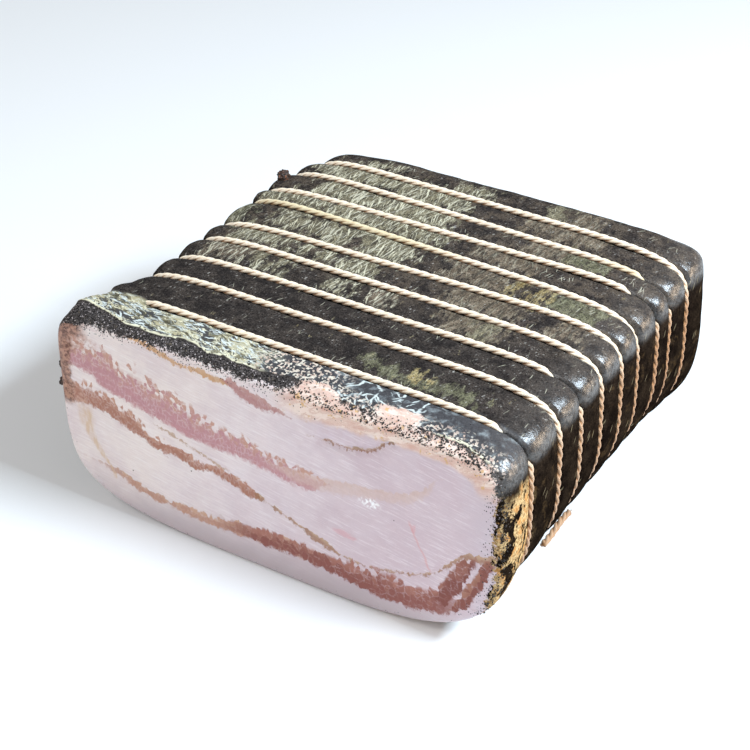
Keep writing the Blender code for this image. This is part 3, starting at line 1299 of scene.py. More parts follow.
@dataclass(frozen=True)
class CutFinish:
    """The cut face: pale fat with streaks of cured lean."""

    fat: Colour = (0.79, 0.705, 0.705)
    fat_warm: Colour = (0.80, 0.70, 0.65)
    fat_mauve: Colour = (0.575, 0.445, 0.48)
    fat_thread: Colour = (0.92, 0.88, 0.88)
    left: float = -118.0
    right: float = 112.0
    squeeze: float = 1.25
    hold: float = 0.42
    streaks: tuple[Streak, ...] = (
        Streak(((-104, 79), (-97, 79), (-89, 78), (-81, 77), (-74, 73.5), (-65, 73), (-58, 71), (-48, 68.5),
                (-41, 65), (-33, 64), (-23, 62.5), (-14, 62), (0, 59), (14, 57.5), (29, 58)),
               ((-104, 7), (-97, 7.4), (-89, 8), (-81, 11.4), (-74, 9.4), (-65, 11), (-58, 10), (-48, 9.8),
                (-41, 8), (-33, 7.8), (-23, 6.8), (-14, 6.4), (0, 5.4), (14, 5.4), (22, 4), (29, 0.6)),
               (0.56, 0.285, 0.305), (0.60, 0.345, 0.265), 1.0, 0.7, 1.2, 1.0),
        Streak(((0, 57.5), (14, 56.5), (29, 58.2), (48, 62), (61, 64.6), (66, 66.8), (72, 71), (76, 76),
                (79, 81)),
               ((0, 1), (14, 3), (22, 3.2), (29, 3.4), (48, 2.8), (61, 2.6), (70, 2.4), (76, 1.8), (79, 0)),
               (0.70, 0.52, 0.46), (0.68, 0.48, 0.38), 0.3, 0.2, 1.6, 0.62, 10.0),
        Streak(((-106, 58), (-95, 59.5), (-86, 59), (-76, 55.5), (-66, 51.5), (-61, 47.5), (-53, 46),
                (-45, 45.2), (-37, 43.5), (-25, 44), (-15, 41), (-8, 38.8)),
               ((-106, 5.4), (-95, 5.8), (-86, 5.8), (-76, 5.6), (-66, 4.6), (-61, 3.4), (-53, 4.0),
                (-49, 1.8), (-45, 3.0), (-37, 3.4), (-31, 1.6), (-25, 3.2), (-15, 3.4), (-8, 2.4),
                (-5, 0.5)),
               (0.44, 0.20, 0.135), (0.60, 0.34, 0.24), 0.85, 0.6, 0.7, 1.0),
        Streak(((-8, 38.8), (4, 33.8), (16, 29.9), (22, 28.3), (28.6, 25.7), (38, 23.3), (48, 23.6),
                (59, 25.8), (75, 31.9), (82, 38.3), (88, 44.8), (92, 47.8), (99, 49.5), (104, 51)),
               ((-8, 1.4), (4, 0.6), (12, 0.6), (18, 1.5), (25, 1.7), (30, 0.7), (38, 0.5), (48, 0.3),
                (59, 0.3), (75, 0.5), (82, 0.7), (88, 1.1), (92, 1.3), (104, 1.6)),
               (0.36, 0.17, 0.075), (0.52, 0.33, 0.17), 0.2, 0.1, 0.5, 0.85),
        Streak(((-58, 55.6), (-45, 52.4), (-37.6, 50.1), (-30, 47.8), (-22, 45.5)),
               ((-58, 0.2), (-52, 0.7), (-45, 0.8), (-37, 0.5), (-30, 0.7), (-22, 0.5)),
               (0.48, 0.29, 0.16), (0.55, 0.38, 0.24), 0.2, 0.2, 0.4, 0.75),
        Streak(((-90, 24), (-80, 22.6), (-69, 18.6), (-56, 16.4), (-46, 16.2), (-35, 15.6), (-25, 16.4),
                (-17, 17.3), (3, 18.4), (20, 18.4)),
               ((-90, 0.6), (-80, 1.8), (-69, 2.1), (-59, 2.3), (-54, 1.2), (-48, 2.2), (-38, 2.5),
                (-33, 2.4), (-25, 3.0), (-17, 3.4), (3, 4.1), (20, 4.0)),
               (0.55, 0.31, 0.225), (0.64, 0.41, 0.29), 0.6, 0.4, 0.8, 1.0, 16.0),
        Streak(((-20, 17.2), (3, 18.4), (13, 18.4), (23, 18.3), (35, 17.4), (47, 17.5), (59, 17.6),
                (71, 18.6), (82, 21), (89, 23)),
               ((-20, 3), (3, 4.3), (13, 3.8), (23, 4.4), (35, 5.2), (47, 6.4), (59, 6.4), (71, 6.2),
                (80, 5.8), (86, 3.5), (90, 0.5)),
               (0.285, 0.092, 0.070), (0.42, 0.18, 0.135), 0.5, 0.55, 0.8, 1.0, 14.0, Grain.COARSE),
        Streak(((76, 21), (80, 24), (85, 32), (91, 40), (95.6, 47)),
               ((76, 1.5), (80, 6.0), (85, 7.4), (91, 6.0), (95.6, 1.8)),
               (0.225, 0.058, 0.040), (0.34, 0.13, 0.09), 0.3, 0.45, 0.8, 1.0, 1.5, Grain.COARSE),
        Streak(((84, 17), (87, 21), (91, 27.3), (96.3, 36), (101, 45.6), (104, 48)),
               ((84, 0.5), (87, 3.8), (91, 5.0), (96.3, 5.8), (101, 5.0), (104, 2)),
               (0.245, 0.066, 0.043), (0.38, 0.165, 0.105), 0.3, 0.45, 0.8, 1.0, 1.5, Grain.COARSE),
        Streak(((-75, 96.5), (-66.8, 95.6), (-56.8, 94.4), (-49.4, 92.5), (-42, 91.2), (-32, 91.2),
                (-24.8, 90.9), (-17.5, 90.3)),
               ((-75, 0.4), (-66, 0.9), (-57, 1.2), (-49, 1.2), (-42, 0.6), (-36, 1.2), (-28, 1.6),
                (-17, 0.6)),
               (0.62, 0.34, 0.14), (0.66, 0.42, 0.24), 0.3, 0.1, 0.5, 0.9),
        Streak(((-22, 91.5), (-18, 91.4), (-12.6, 89), (-5.5, 87.6), (0.6, 86), (5.3, 86), (12, 84.4)),
               ((-22, 0.6), (-18, 2.0), (-12.6, 3.2), (-5.5, 3.2), (0.6, 2.4), (5.3, 1.4), (12, 0.5)),
               (0.46, 0.20, 0.19), (0.52, 0.28, 0.24), 0.5, 0.3, 0.8, 0.9),
        Streak(((19, 79), (27, 79.2), (37, 79), (42, 80.2), (49, 82.6), (54, 86.6), (59, 90.2), (66, 94.3)),
               ((19, 0.1), (27, 0.4), (37, 0.7), (49, 0.6), (59, 0.4), (66, 0.1)),
               (0.34, 0.16, 0.08), (0.58, 0.40, 0.26), 0.2, 0.1, 0.4, 0.9),
    )

    def follow(self, paint: Painter, share: Wire, points: Iterable[tuple[float, float]],
               scale: float) -> Wire:
        """A value that follows points from left to right.

        Args:
            paint: The painter.
            share: The position across, 0 to 1.
            points: The position and the value of each point, in millimetres.
            scale: More than the largest value.

        Returns:
            The value.
        """
        spread = [((x - self.left) / (self.right - self.left), height / scale) for x, height in points]
        spread = [(0.0, spread[0][1]), *spread, (1.0, spread[-1][1])]
        return paint.add("ShaderNodeFloatCurve", {"points": spread}, {"Value": share}) * scale

    def bundles(self, paint: Painter, x: Wire, z: Wire, size: float) -> dict[str, Wire]:
        """Rounded bundles of muscle: positions drawn towards the middle of the bundle that they are in.

        Args:
            paint: The painter.
            x: The position across.
            z: The height.
            size: The size of a bundle.

        Returns:
            The drawn positions, each bundle's chance, and the distance from its edge.
        """
        flat = paint.vector(x * self.squeeze, z / self.squeeze, 0.0)
        _, colour, middle = paint.flat_cells(flat, size)[:3]
        across, up, _ = paint.axes(middle)
        chance, shade, _ = paint.channels(colour)
        held_x = x * (1.0 - self.hold) + across * (self.hold / self.squeeze)
        held_z = z * (1.0 - self.hold) + up * (self.hold * self.squeeze)
        return {"x": held_x, "z": held_z, "share": (held_x - self.left) / (self.right - self.left),
                "chance": chance, "shade": shade,
                "edge": paint.flat_cells(flat, size, "DISTANCE_TO_EDGE")[0] * size}

    def lay_streak(self, paint: Painter, streak: Streak, flesh: dict[Any, Any],
                   colour: Wire) -> tuple[Wire, Wire]:
        """Lays a streak over the fat.

        Args:
            paint: The painter.
            streak: The streak.
            flesh: The shared bundles and noises of the cut face.
            colour: The colour under it.

        Returns:
            The new colour, and the streak's mask.
        """
        bundle = flesh[streak.grain]
        middle = self.follow(paint, bundle["share"], streak.middle, 110.0)
        half = self.follow(paint, bundle["share"], streak.half, 14.0)
        first, last = streak.half[0][0], streak.half[-1][0]
        inside = (paint.rise(bundle["x"], first - streak.fade, first + streak.fade)
                  * paint.fall(bundle["x"], last - streak.fade, last + streak.fade))
        off = bundle["z"] - middle
        height = off / half.over(0.6)
        lacking = paint.rise(height + bundle["chance"] * streak.broken, 0.86, 1.12)
        reach = abs(off) - half * 1.12 + flesh["rag"] * 0.75
        mask = paint.fall(reach, -streak.soft, streak.soft) * (1.0 - lacking)
        seam = paint.fall(bundle["edge"] + flesh["rag"] * 0.2, -0.05, 0.55) * flesh["marbling"]
        seam = seam.over(flesh["threads"])
        mask = mask * inside * (1.0 - seam * (0.45 + 0.5 * paint.rise(height, -0.6, 0.7)) * streak.gaps)
        mask = mask * streak.strength
        upper = paint.rise(height + (bundle["shade"] - 0.5) * 0.9, -0.4, 0.8)
        meat = paint.mix(upper, streak.colour, streak.tips)
        meat = paint.mix(0.62, meat, flesh["tone"], Blend.MULTIPLY)
        return paint.mix(mask, colour, meat), mask

    def colour(self, paint: Painter, place: Wire) -> tuple[Wire, Wire]:
        """The colour of the cut face, and where it is lean.

        Args:
            paint: The painter.
            place: The position.

        Returns:
            The colour, and the mask of the lean.
        """
        x, _, z = paint.axes(paint.warped(paint.warped(place, 8.0, 0.9), 1.5, 0.75))
        colour = self.fat_colour(paint, place)
        flesh = {
            Grain.FINE: self.bundles(paint, x, z, Grain.FINE.value),
            Grain.COARSE: self.bundles(paint, x, z, Grain.COARSE.value),
            "rag": (paint.noise(place, 1.5, 4.0, 0.7) - 0.5) * 5.0,
            "marbling": paint.rise(paint.noise(place, 3.2, 3.0, 0.6), 0.40, 0.62),
            "threads": paint.rise(paint.noise(paint.stretched(paint.warped(place, 4.0, 0.8), (0.3, 1.0, 1.0),
                                                              (0, -8, 0)), 1.2, 3.0, 0.6), 0.56, 0.68) * 0.8,
            "tone": paint.mix(paint.noise(paint.stretched(place, (1.0, 1.0, 0.5)), 1.1, 4.0, 0.7),
                              (0.50, 0.40, 0.38), (1.0, 1.0, 1.0)),
        }
        lean = None
        for streak in self.streaks:
            colour, mask = self.lay_streak(paint, streak, flesh, colour)
            lean = mask if lean is None else lean.over(mask)
        return self.marks(paint, place, colour), lean

    def fat_colour(self, paint: Painter, place: Wire) -> Wire:
        """The colour of the fat, warm at the upper left, mauve at the right and greyer at the foot, where
        shade is painted.

        Args:
            paint: The painter.
            place: The position.

        Returns:
            The colour.
        """
        x, _, z = paint.axes(place)
        warm = paint.rise(paint.noise(place, 34.0, 3.0) * 60.0 - x * 0.8 + z * 0.5, 40.0, 110.0)
        colour = paint.mix(warm, self.fat, self.fat_warm)
        mauve = paint.rise(paint.noise(place, 22.0, 3.0, 0.6), 0.42, 0.7) * 0.35
        right = paint.rise(x - z * 0.4, -75.0, 50.0) * 0.82
        colour = paint.mix((mauve + right).under(0.9), colour, self.fat_mauve)
        threads = paint.noise(paint.stretched(place, (0.07, 1.0, 1.0), (0, -8, 0)), 0.75, 4.0, 0.7)
        colour = paint.mix(paint.rise(threads, 0.48, 0.68) * 0.34, colour, self.fat_thread)
        colour = paint.mix(paint.fall(threads, 0.32, 0.50) * 0.34, colour, (0.62, 0.50, 0.54))
        grain = paint.noise(place, 0.8, 3.0, 0.7)
        speckle = paint.mix(grain, (0.60, 0.5, 0.54), (1.0, 0.99, 0.98))
        colour = paint.mix(0.28, colour, speckle, Blend.MULTIPLY)
        drift = paint.noise(place, 14.0, 3.0) * 10.0
        # painted shade: the fat is greyed towards the foot of the cut face
        colour = paint.mix(paint.fall(z + drift, 8.0, 28.0) * 0.90, colour, (0.46, 0.385, 0.40))
        return paint.mix(paint.rise(x + drift, 90.0, 108.0) * 0.5, colour, (0.52, 0.44, 0.48))

    def marks(self, paint: Painter, place: Wire, colour: Wire) -> Wire:
        """Adds a crystal spot, red veins, a tan seam down the left and dried lean at the corner.

        Args:
            paint: The painter.
            place: The position.
            colour: The colour under it.

        Returns:
            The colour.
        """
        bent = paint.warped(place, 5.0, 1.5)
        flaky = paint.rise(paint.noise(place, 1.2, 3.0), 0.4, 0.62)
        colour = paint.mix(paint.spot(bent, (47.5, -98.0, 56.3), (6.5, 30.0, 3.0)) * flaky * 0.85, colour,
                           (0.93, 0.93, 0.92))
        for centre, radii in (((34.0, -98.0, 36.0), (6.0, 30.0, 2.0)),
                              ((39.0, -98.0, 35.0), (2.5, 30.0, 1.0)),
                              ((67.5, -98.0, 51.5), (1.3, 30.0, 2.6))):
            colour = paint.mix(paint.spot(bent, centre, radii) * 0.35, colour, (0.66, 0.25, 0.27))
        x, _, z = paint.axes(bent)
        vein = paint.fall(abs(x - 65.5 - (54.0 - z) * 0.46), 0.25, 0.8) * paint.rise(z, 32.0, 34.0)
        colour = paint.mix(vein * paint.fall(z, 53.0, 56.0) * 0.45, colour, (0.62, 0.28, 0.26))
        drift = paint.fall(z, 18.0, 50.0)
        off = abs(x + 95.0 - drift * drift * 13.0)
        wide = 1.4 + paint.rise(z, 22.0, 48.0) * 4.0
        left = paint.fall(off / wide, 0.35, 1.0) * paint.rise(z, 17.0, 20.0) * paint.fall(z, 48.0, 55.0)
        flecks = paint.noise(paint.stretched(place, (1.0, 1.0, 0.3)), 2.0, 3.0, 0.6)
        colour = paint.mix(left * (0.35 + 0.5 * paint.rise(flecks, 0.4, 0.6)), colour, (0.62, 0.43, 0.28))
        flap = paint.spot(bent, (32.0, -98.0, 84.5), (22.0, 40.0, 7.0))
        colour = paint.mix(flap * paint.rise(flecks, 0.4, 0.6) * 0.35, colour, (0.62, 0.50, 0.55))
        rim = paint.attribute("rim")
        ragged = paint.noise(place, 5.0, 4.0, 0.7) * 12.0 - 6.0
        strip = paint.rise(rim + ragged, -6.2, -3.2) * paint.fall(x, -96.0, -88.0)
        strip = strip * paint.rise(z, 48.0, 54.0)
        lumps = paint.spot(bent, (-96.0, -98.0, 84.0), (12.0, 40.0, 8.0)) * 0.8
        lumps = lumps.over(paint.spot(bent, (-99.0, -98.0, 56.0), (8.0, 40.0, 6.0)))
        crust = paint.rise(paint.noise(place, 2.6, 4.0, 0.7), 0.45, 0.55)
        tone = paint.rise(paint.noise(place, 1.6, 3.0, 0.6), 0.32, 0.66)
        dried = paint.mix(tone, (0.12, 0.045, 0.028), (0.44, 0.235, 0.16))
        raised = paint.mix(tone, (0.34, 0.16, 0.11), (0.56, 0.34, 0.26))
        colour = paint.mix(lumps * crust * 0.85, colour, raised)
        return paint.mix(strip * 0.95, colour, dried)


@dataclass(frozen=True)
class RindFinish:
    """The rind: black pepper and spice under a thin dried casing."""

    dark: Colour = (0.024, 0.020, 0.019)
    brown: Colour = (0.062, 0.050, 0.043)
    # painted shade: the sides get darker colours than the top, where less light falls
    shaded_side_dark: Colour = (0.006, 0.004, 0.003)
    shaded_side_brown: Colour = (0.018, 0.012, 0.008)
    # groove is painted shade: the dark laid into the grooves where the twine sinks in
    groove: Colour = (0.006, 0.004, 0.003)
    speck: Colour = (0.50, 0.47, 0.43)
    hair: Colour = (0.66, 0.62, 0.48)
    strand: Colour = (0.66, 0.71, 0.69)
    cream: Colour = (0.78, 0.73, 0.54)
    pale: tuple[Box, ...] = (
        (-80, 4, 55, 70), (-66, 4, 38, 54), (-88, 10, 24, 37), (-22, 1, 4, 22), (-70, -24, 6, 20),
        (-23, -5, -12, 3), (-78, -57, -12, 2), (-54, -47, -12, 2), (-44, -38, -11, 2), (-34, -27, -12, 1),
        (-58, -50, -31, -14), (-47, -41, -29, -14), (-16, -9, -31, -14), (-60, -42, 71, 79),
        (-12, 8, 71, 79), (34, 43, 71, 85), (52, 60, -31, -15))
    taupe: tuple[Box, ...] = (
        (30, 70, 56, 70), (38, 61, 39, 53), (22, 54, 25, 37), (17, 47, 5, 21), (30, 62, -12, 2),
        (37, 63, -31, -15), (48, 60, 71, 85), (0, 12, -30, -16), (80, 92, -10, 0), (-80, -60, -30, -16))
    olive: tuple[Box, ...] = ((25, 78, -71, -64), (68, 92, 4, 20), (-96, -82, -2, 20), (60, 78, 40, 50))
    gold: tuple[Box, ...] = ((50, 56, 4, 20), (61, 67, 3, 21), (48, 56, -67, -64))

    def colour(self, paint: Painter, place: Wire) -> tuple[Wire, Wire]:
        """The colour of the rind, with painted shade on its sides and in the twine's grooves, and how much
        film lies over the pepper.

        Args:
            paint: The painter.
            place: The position.

        Returns:
            The colour, and the film's mask.
        """
        top = paint.rise(paint.attribute("upward"), 0.45, 0.85)
        cloud = paint.rise(paint.noise(place, 7.0, 5.0, 0.65), 0.35, 0.68)
        # painted shade: surfaces facing sideways take the darker side colours, the top the lighter ones
        colour = paint.mix(top, paint.mix(cloud, self.shaded_side_dark, self.shaded_side_brown),
                           paint.mix(cloud, self.dark, self.brown))
        _, y, _ = paint.axes(place)
        veil = paint.rise(paint.noise(paint.warped(place, 6.0, 3.0), 6.0, 5.0, 0.68), 0.44, 0.60)
        veil = veil * paint.rise(y, -36.0, -6.0) * top
        colour = paint.mix(veil * 0.62, colour, (0.115, 0.088, 0.066))
        colour, film = self.film(paint, place, colour, top)
        grain = paint.rise(paint.noise(place, 0.6, 3.0, 0.75), 0.26, 0.76) * 1.55 + 0.22
        colour = paint.mix(1.0, colour, paint.vector(grain, grain, grain), Blend.MULTIPLY)
        colour = self.specks(paint, place, colour, top)
        colour = self.hairs(paint, place, colour, top, film)
        colour = self.front_film(paint, place, colour, top)
        colour = self.sides(paint, place, colour)
        # painted shade: the rind is darkened in the grooves under the twine
        return paint.mix(paint.fall(paint.attribute("clear"), 0.25, 0.95) * 0.9, colour, self.groove), film

    def ragged(self, paint: Painter, boxes: Iterable[Box], place: Wire, rag: Wire) -> Wire:
        """The inside of some ragged boxes on the top.

        Args:
            paint: The painter.
            boxes: The left, right, front and back of each, in millimetres.
            place: The position.
            rag: How ragged their edges are, in millimetres.

        Returns:
            The mask.
        """
        x, y, _ = paint.axes(place)
        inside = None
        for left, right, front, back in boxes:
            reach = (x - left).under(right - x).under((y - front).under(back - y))
            inside = reach if inside is None else inside.over(reach)
        return paint.rise(inside.under(7.0).over(-7.0) * 0.42 + rag, -0.8, 1.0)

    def film(self, paint: Painter, place: Wire, colour: Wire, top: Wire) -> tuple[Wire, Wire]:
        """Adds the patches where the dried casing shows over the pepper.

        Args:
            paint: The painter.
            place: The position.
            colour: The colour under it.
            top: Where the surface looks up.

        Returns:
            The colour, and the patches' mask.
        """
        bent = paint.warped(paint.warped(place, 12.0, 5.0), 2.4, 1.4)
        rag = (paint.noise(paint.stretched(place, (1.0, 0.45, 1.0)), 4.0, 5.0, 0.72) - 0.5) * 15.0
        tone = paint.rise(paint.noise(place, 3.4, 5.0, 0.7), 0.30, 0.70)
        stripes = paint.rise(paint.noise(paint.stretched(place, (1.0, 0.12, 1.0)), 3.0, 4.0, 0.7), 0.32, 0.66)
        film = None
        for boxes, strength, low, high in (
                (self.taupe, 0.94, (0.080, 0.058, 0.040), (0.215, 0.165, 0.118)),
                (self.pale, 0.88, (0.075, 0.061, 0.040), (0.285, 0.248, 0.160)),
                (self.olive, 0.60, (0.070, 0.066, 0.038), (0.26, 0.25, 0.145)),
                (self.gold, 0.75, (0.22, 0.15, 0.055), (0.46, 0.36, 0.18))):
            mask = self.ragged(paint, boxes, bent, rag) * top * strength
            share = tone * 0.5 + stripes * 0.5 if boxes is self.pale else tone
            colour = paint.mix(mask, colour, paint.mix(share, low, high))
            film = mask if film is None else film.over(mask)
        blots = paint.rise(paint.noise(bent, 4.6, 5.0, 0.72), 0.55, 0.64) * film
        return paint.mix(blots * 0.72, colour, (0.040, 0.032, 0.027)), film

    def specks(self, paint: Painter, place: Wire, colour: Wire, top: Wire) -> Wire:
        """Adds the pale and the black grains of the spice.

        Args:
            paint: The painter.
            place: The position.
            colour: The colour under it.
            top: Where the surface looks up.

        Returns:
            The colour.
        """
        some = paint.rise(paint.noise(place, 7.0, 4.0, 0.6), 0.45, 0.70)
        bent = paint.warped(place, 2.0, 0.3)
        for size, aspect, reach, share, power in ((0.9, 1.6, 0.26, 0.20, 0.40), (2.3, 2.2, 0.13, 0.40, 0.65),
                                                  (5.0, 3.0, 0.07, 0.40, 0.9)):
            dots = paint.needles(bent, size, aspect, 70.0, reach, share, size * 40.0)
            colour = paint.mix(dots * (0.15 + 0.85 * some) * top * power, colour, self.speck)
        pits = paint.needles(place, 1.5, 1.2, 0.0, 0.30, 0.22, 7.0)
        return paint.mix(pits * top * 0.8, colour, (0.010, 0.008, 0.008))

    def hairs(self, paint: Painter, place: Wire, colour: Wire, top: Wire, film: Wire) -> Wire:
        """Adds the fine pale strands that run from front to back.

        Args:
            paint: The painter.
            place: The position.
            colour: The colour under it.
            top: Where the surface looks up.
            film: Where the casing shows over the pepper.

        Returns:
            The colour.
        """
        x, _, _ = paint.axes(place)
        bent = paint.warped(place, 16.0, 1.8)
        left = paint.fall(x + paint.noise(place, 12.0) * 30.0, 12.0, 44.0)
        dense = film * (0.20 + 0.80 * left)
        gaps = paint.noise(paint.stretched(bent, (1.0, 0.14, 1.0), (0, 0, 8)), 1.8, 4.0, 0.7)
        colour = paint.mix(paint.fall(gaps, 0.40, 0.48) * film * 0.78, colour, (0.040, 0.033, 0.027))
        for lean, low, tone in ((4.0, 0.545, self.hair), (-17.0, 0.565, self.cream),
                                (26.0, 0.585, self.hair)):
            fibre = paint.noise(paint.stretched(bent, (1.0, 0.055, 1.0), (0, 0, lean)), 0.85, 3.0, 0.7)
            colour = paint.mix(paint.rise(fibre, low, low + 0.07) * dense * 0.80, colour, tone)
        few = paint.rise(paint.noise(place, 13.0, 3.0), 0.47, 0.60) * top
        for angle, seed in ((86.0, 210.0), (62.0, 260.0), (112.0, 310.0)):
            lone = paint.needles(bent, 2.8, 10.0, angle, 0.075, 0.40, seed)
            colour = paint.mix(lone * few * 0.5, colour, self.hair)
        return colour

    def front_film(self, paint: Painter, place: Wire, colour: Wire, top: Wire) -> Wire:
        """Adds the crumpled casing behind the cut, yellow at the left and veined with white at the right.

        Args:
            paint: The painter.
            place: The position.
            colour: The colour under it.
            top: Where the surface looks up.

        Returns:
            The colour.
        """
        x, y, _ = paint.axes(place)
        past = paint.attribute("past")
        wander = paint.noise(place, 9.0, 2.0) * 5.0 - 2.5
        body = paint.rise(past, -0.1, 0.4) * paint.fall(y + wander, -75.5, -72.5) * top
        left = paint.fall(x + wander * 3.0, -16.0, 0.0)
        bent = paint.warped(place, 7.0, 2.4)
        fold = paint.noise(paint.stretched(bent, (0.42, 1.2, 1.0), (0, 0, 14)), 4.5, 4.0, 0.62)
        casing = paint.mix(paint.rise(fold, 0.34, 0.62), (0.08, 0.072, 0.046), (0.44, 0.39, 0.25))
        dusk = paint.rise(paint.noise(paint.stretched(bent, (0.55, 1.3, 1.0), (0, 0, 14)), 5.0, 4.0, 0.68),
                          0.46, 0.52)
        black = paint.mix(paint.noise(place, 0.8, 3.0, 0.7), (0.010, 0.010, 0.012), (0.11, 0.105, 0.11))
        colour = paint.mix(body, colour, paint.mix(left * (1.0 - dusk * 0.9), black, casing))
        ridge = paint.fall(abs(fold - 0.52), 0.006, 0.030)
        colour = paint.mix(body * left * ridge * 0.85, colour, self.cream)
        rays = paint.noise(paint.stretched(bent, (0.10, 1.0, 1.0), (0, 0, 16)), 1.1, 3.0, 0.68)
        colour = paint.mix(paint.rise(rays, 0.57, 0.64) * body * left * 0.62, colour, self.strand)
        for angle, seed in ((-10.0, 0.0), (-30.0, 70.0), (12.0, 150.0)):
            strands = paint.needles(bent, 1.5, 7.0, angle, 0.25, 0.62, seed)
            colour = paint.mix(strands * body * left * (0.30 + 0.6 * dusk), colour, self.strand)
        colour = self.granules(paint, place, colour, body, x)
        web = paint.flat_cells(paint.warped(place, 5.0, 2.2), 11.0, "DISTANCE_TO_EDGE")[0] * 11.0
        zone = paint.rise(x, 16.0, 30.0) * paint.fall(x, 60.0, 74.0) * body
        broken = paint.rise(paint.noise(place, 6.0, 3.0), 0.40, 0.52)
        veins = paint.fall(web, 0.25, 0.75) * broken
        veins = veins.over(paint.needles(bent, 2.6, 6.0, 60.0, 0.16, 0.5, 33.0) * 0.8)
        veins = veins.over(paint.needles(bent, 2.8, 6.0, 125.0, 0.14, 0.4, 83.0) * 0.8)
        colour = paint.mix(veins * zone * 0.9, colour, self.strand)
        haze = paint.rise(paint.noise(place, 5.0, 4.0, 0.7), 0.50, 0.75) * paint.rise(x, 8.0, 22.0)
        colour = paint.mix(haze * body * 0.35, colour, (0.52, 0.58, 0.60))
        uneven = (paint.noise(place, 3.0, 3.0, 0.6) - 0.45) * 3.0
        lip = paint.rise(past, -0.2, 0.1) * paint.fall(past + uneven, 0.35, 1.1) * top
        far = paint.rise(x, 72.0, 80.0) * paint.fall(x, 94.0, 102.0)
        return paint.mix(lip * left.over(far) * 0.9, colour, self.cream)

    def granules(self, paint: Painter, place: Wire, colour: Wire, body: Wire, x: Wire) -> Wire:
        """Adds the crumbs of fat and spice that lie on the casing behind the bare edge.

        Args:
            paint: The painter.
            place: The position.
            colour: The colour under it.
            body: The mask of the casing behind the cut.
            x: The position across.

        Returns:
            The colour.
        """
        crumb = paint.channels(paint.flat_cells(paint.warped(place, 1.0, 0.7), 0.8)[1])
        past = paint.attribute("past")
        many = paint.fall(past + paint.noise(place, 6.0, 2.0) * 6.0 - 3.0, 3.0, 10.0)
        zone = paint.rise(x, -16.0, -6.0) * (paint.fall(x, 18.0, 34.0) + many * 0.9).under(1.0) * body
        tone = paint.mix(crumb[1], (0.60, 0.42, 0.34), (0.80, 0.74, 0.62))
        return paint.mix(zone * paint.rise(crumb[0], 0.66, 0.72) * 0.85, colour, tone)

    def sides(self, paint: Painter, place: Wire, colour: Wire) -> Wire:
        """Adds the ochre casing at the front right corner, the rusty film lower down and a painted warm sheen
        on the upper right corner.

        Args:
            paint: The painter.
            place: The position.
            colour: The colour under it.

        Returns:
            The colour.
        """
        x, y, z = paint.axes(place)
        front = paint.rise(x, 84.0, 96.0) * paint.fall(y + paint.noise(place, 5.0) * 6.0, -76.0, -69.0)
        patch = front * paint.fall(z + paint.noise(place, 7.0, 3.0) * 16.0, 82.0, 90.0)
        drawn = paint.stretched(paint.warped(place, 7.0, 3.5), (1.0, 1.0, 0.45), (14, 0, 0))
        upright = paint.noise(drawn, 6.5, 5.0, 0.72)
        fine = paint.noise(place, 1.1, 4.0, 0.75)
        tan = paint.mix(paint.rise(fine, 0.35, 0.62), (0.16, 0.085, 0.034), (0.60, 0.42, 0.21))
        tan = paint.mix(paint.rise(paint.noise(place, 4.0, 3.0), 0.52, 0.60) * 0.6, tan, (0.50, 0.22, 0.06))
        colour = paint.mix(patch * paint.rise(upright, 0.465, 0.50) * 0.96, colour, tan)
        low = paint.fall(paint.attribute("upward"), 0.4, 0.8)
        stray = paint.rise(paint.noise(paint.warped(place, 7.0, 3.0), 8.0, 5.0, 0.75), 0.56, 0.66)
        colour = paint.mix(stray * low * 0.4, colour, (0.07, 0.043, 0.020))
        lean = paint.needles(paint.vector(y, z, 0.0), 3.0, 7.0, 60.0, 0.10, 0.4, 21.0)
        colour = paint.mix(lean * paint.rise(x, 80.0, 95.0) * low * 0.30, colour, (0.40, 0.33, 0.20))
        # painted highlight: a warm brown sheen laid into the colour of the upper right corner pillows
        warm = paint.attribute("corner") * paint.rise(paint.noise(place, 1.1, 4.0, 0.75), 0.42, 0.66)
        return paint.mix(warm * 0.25, colour, (0.15, 0.11, 0.085))


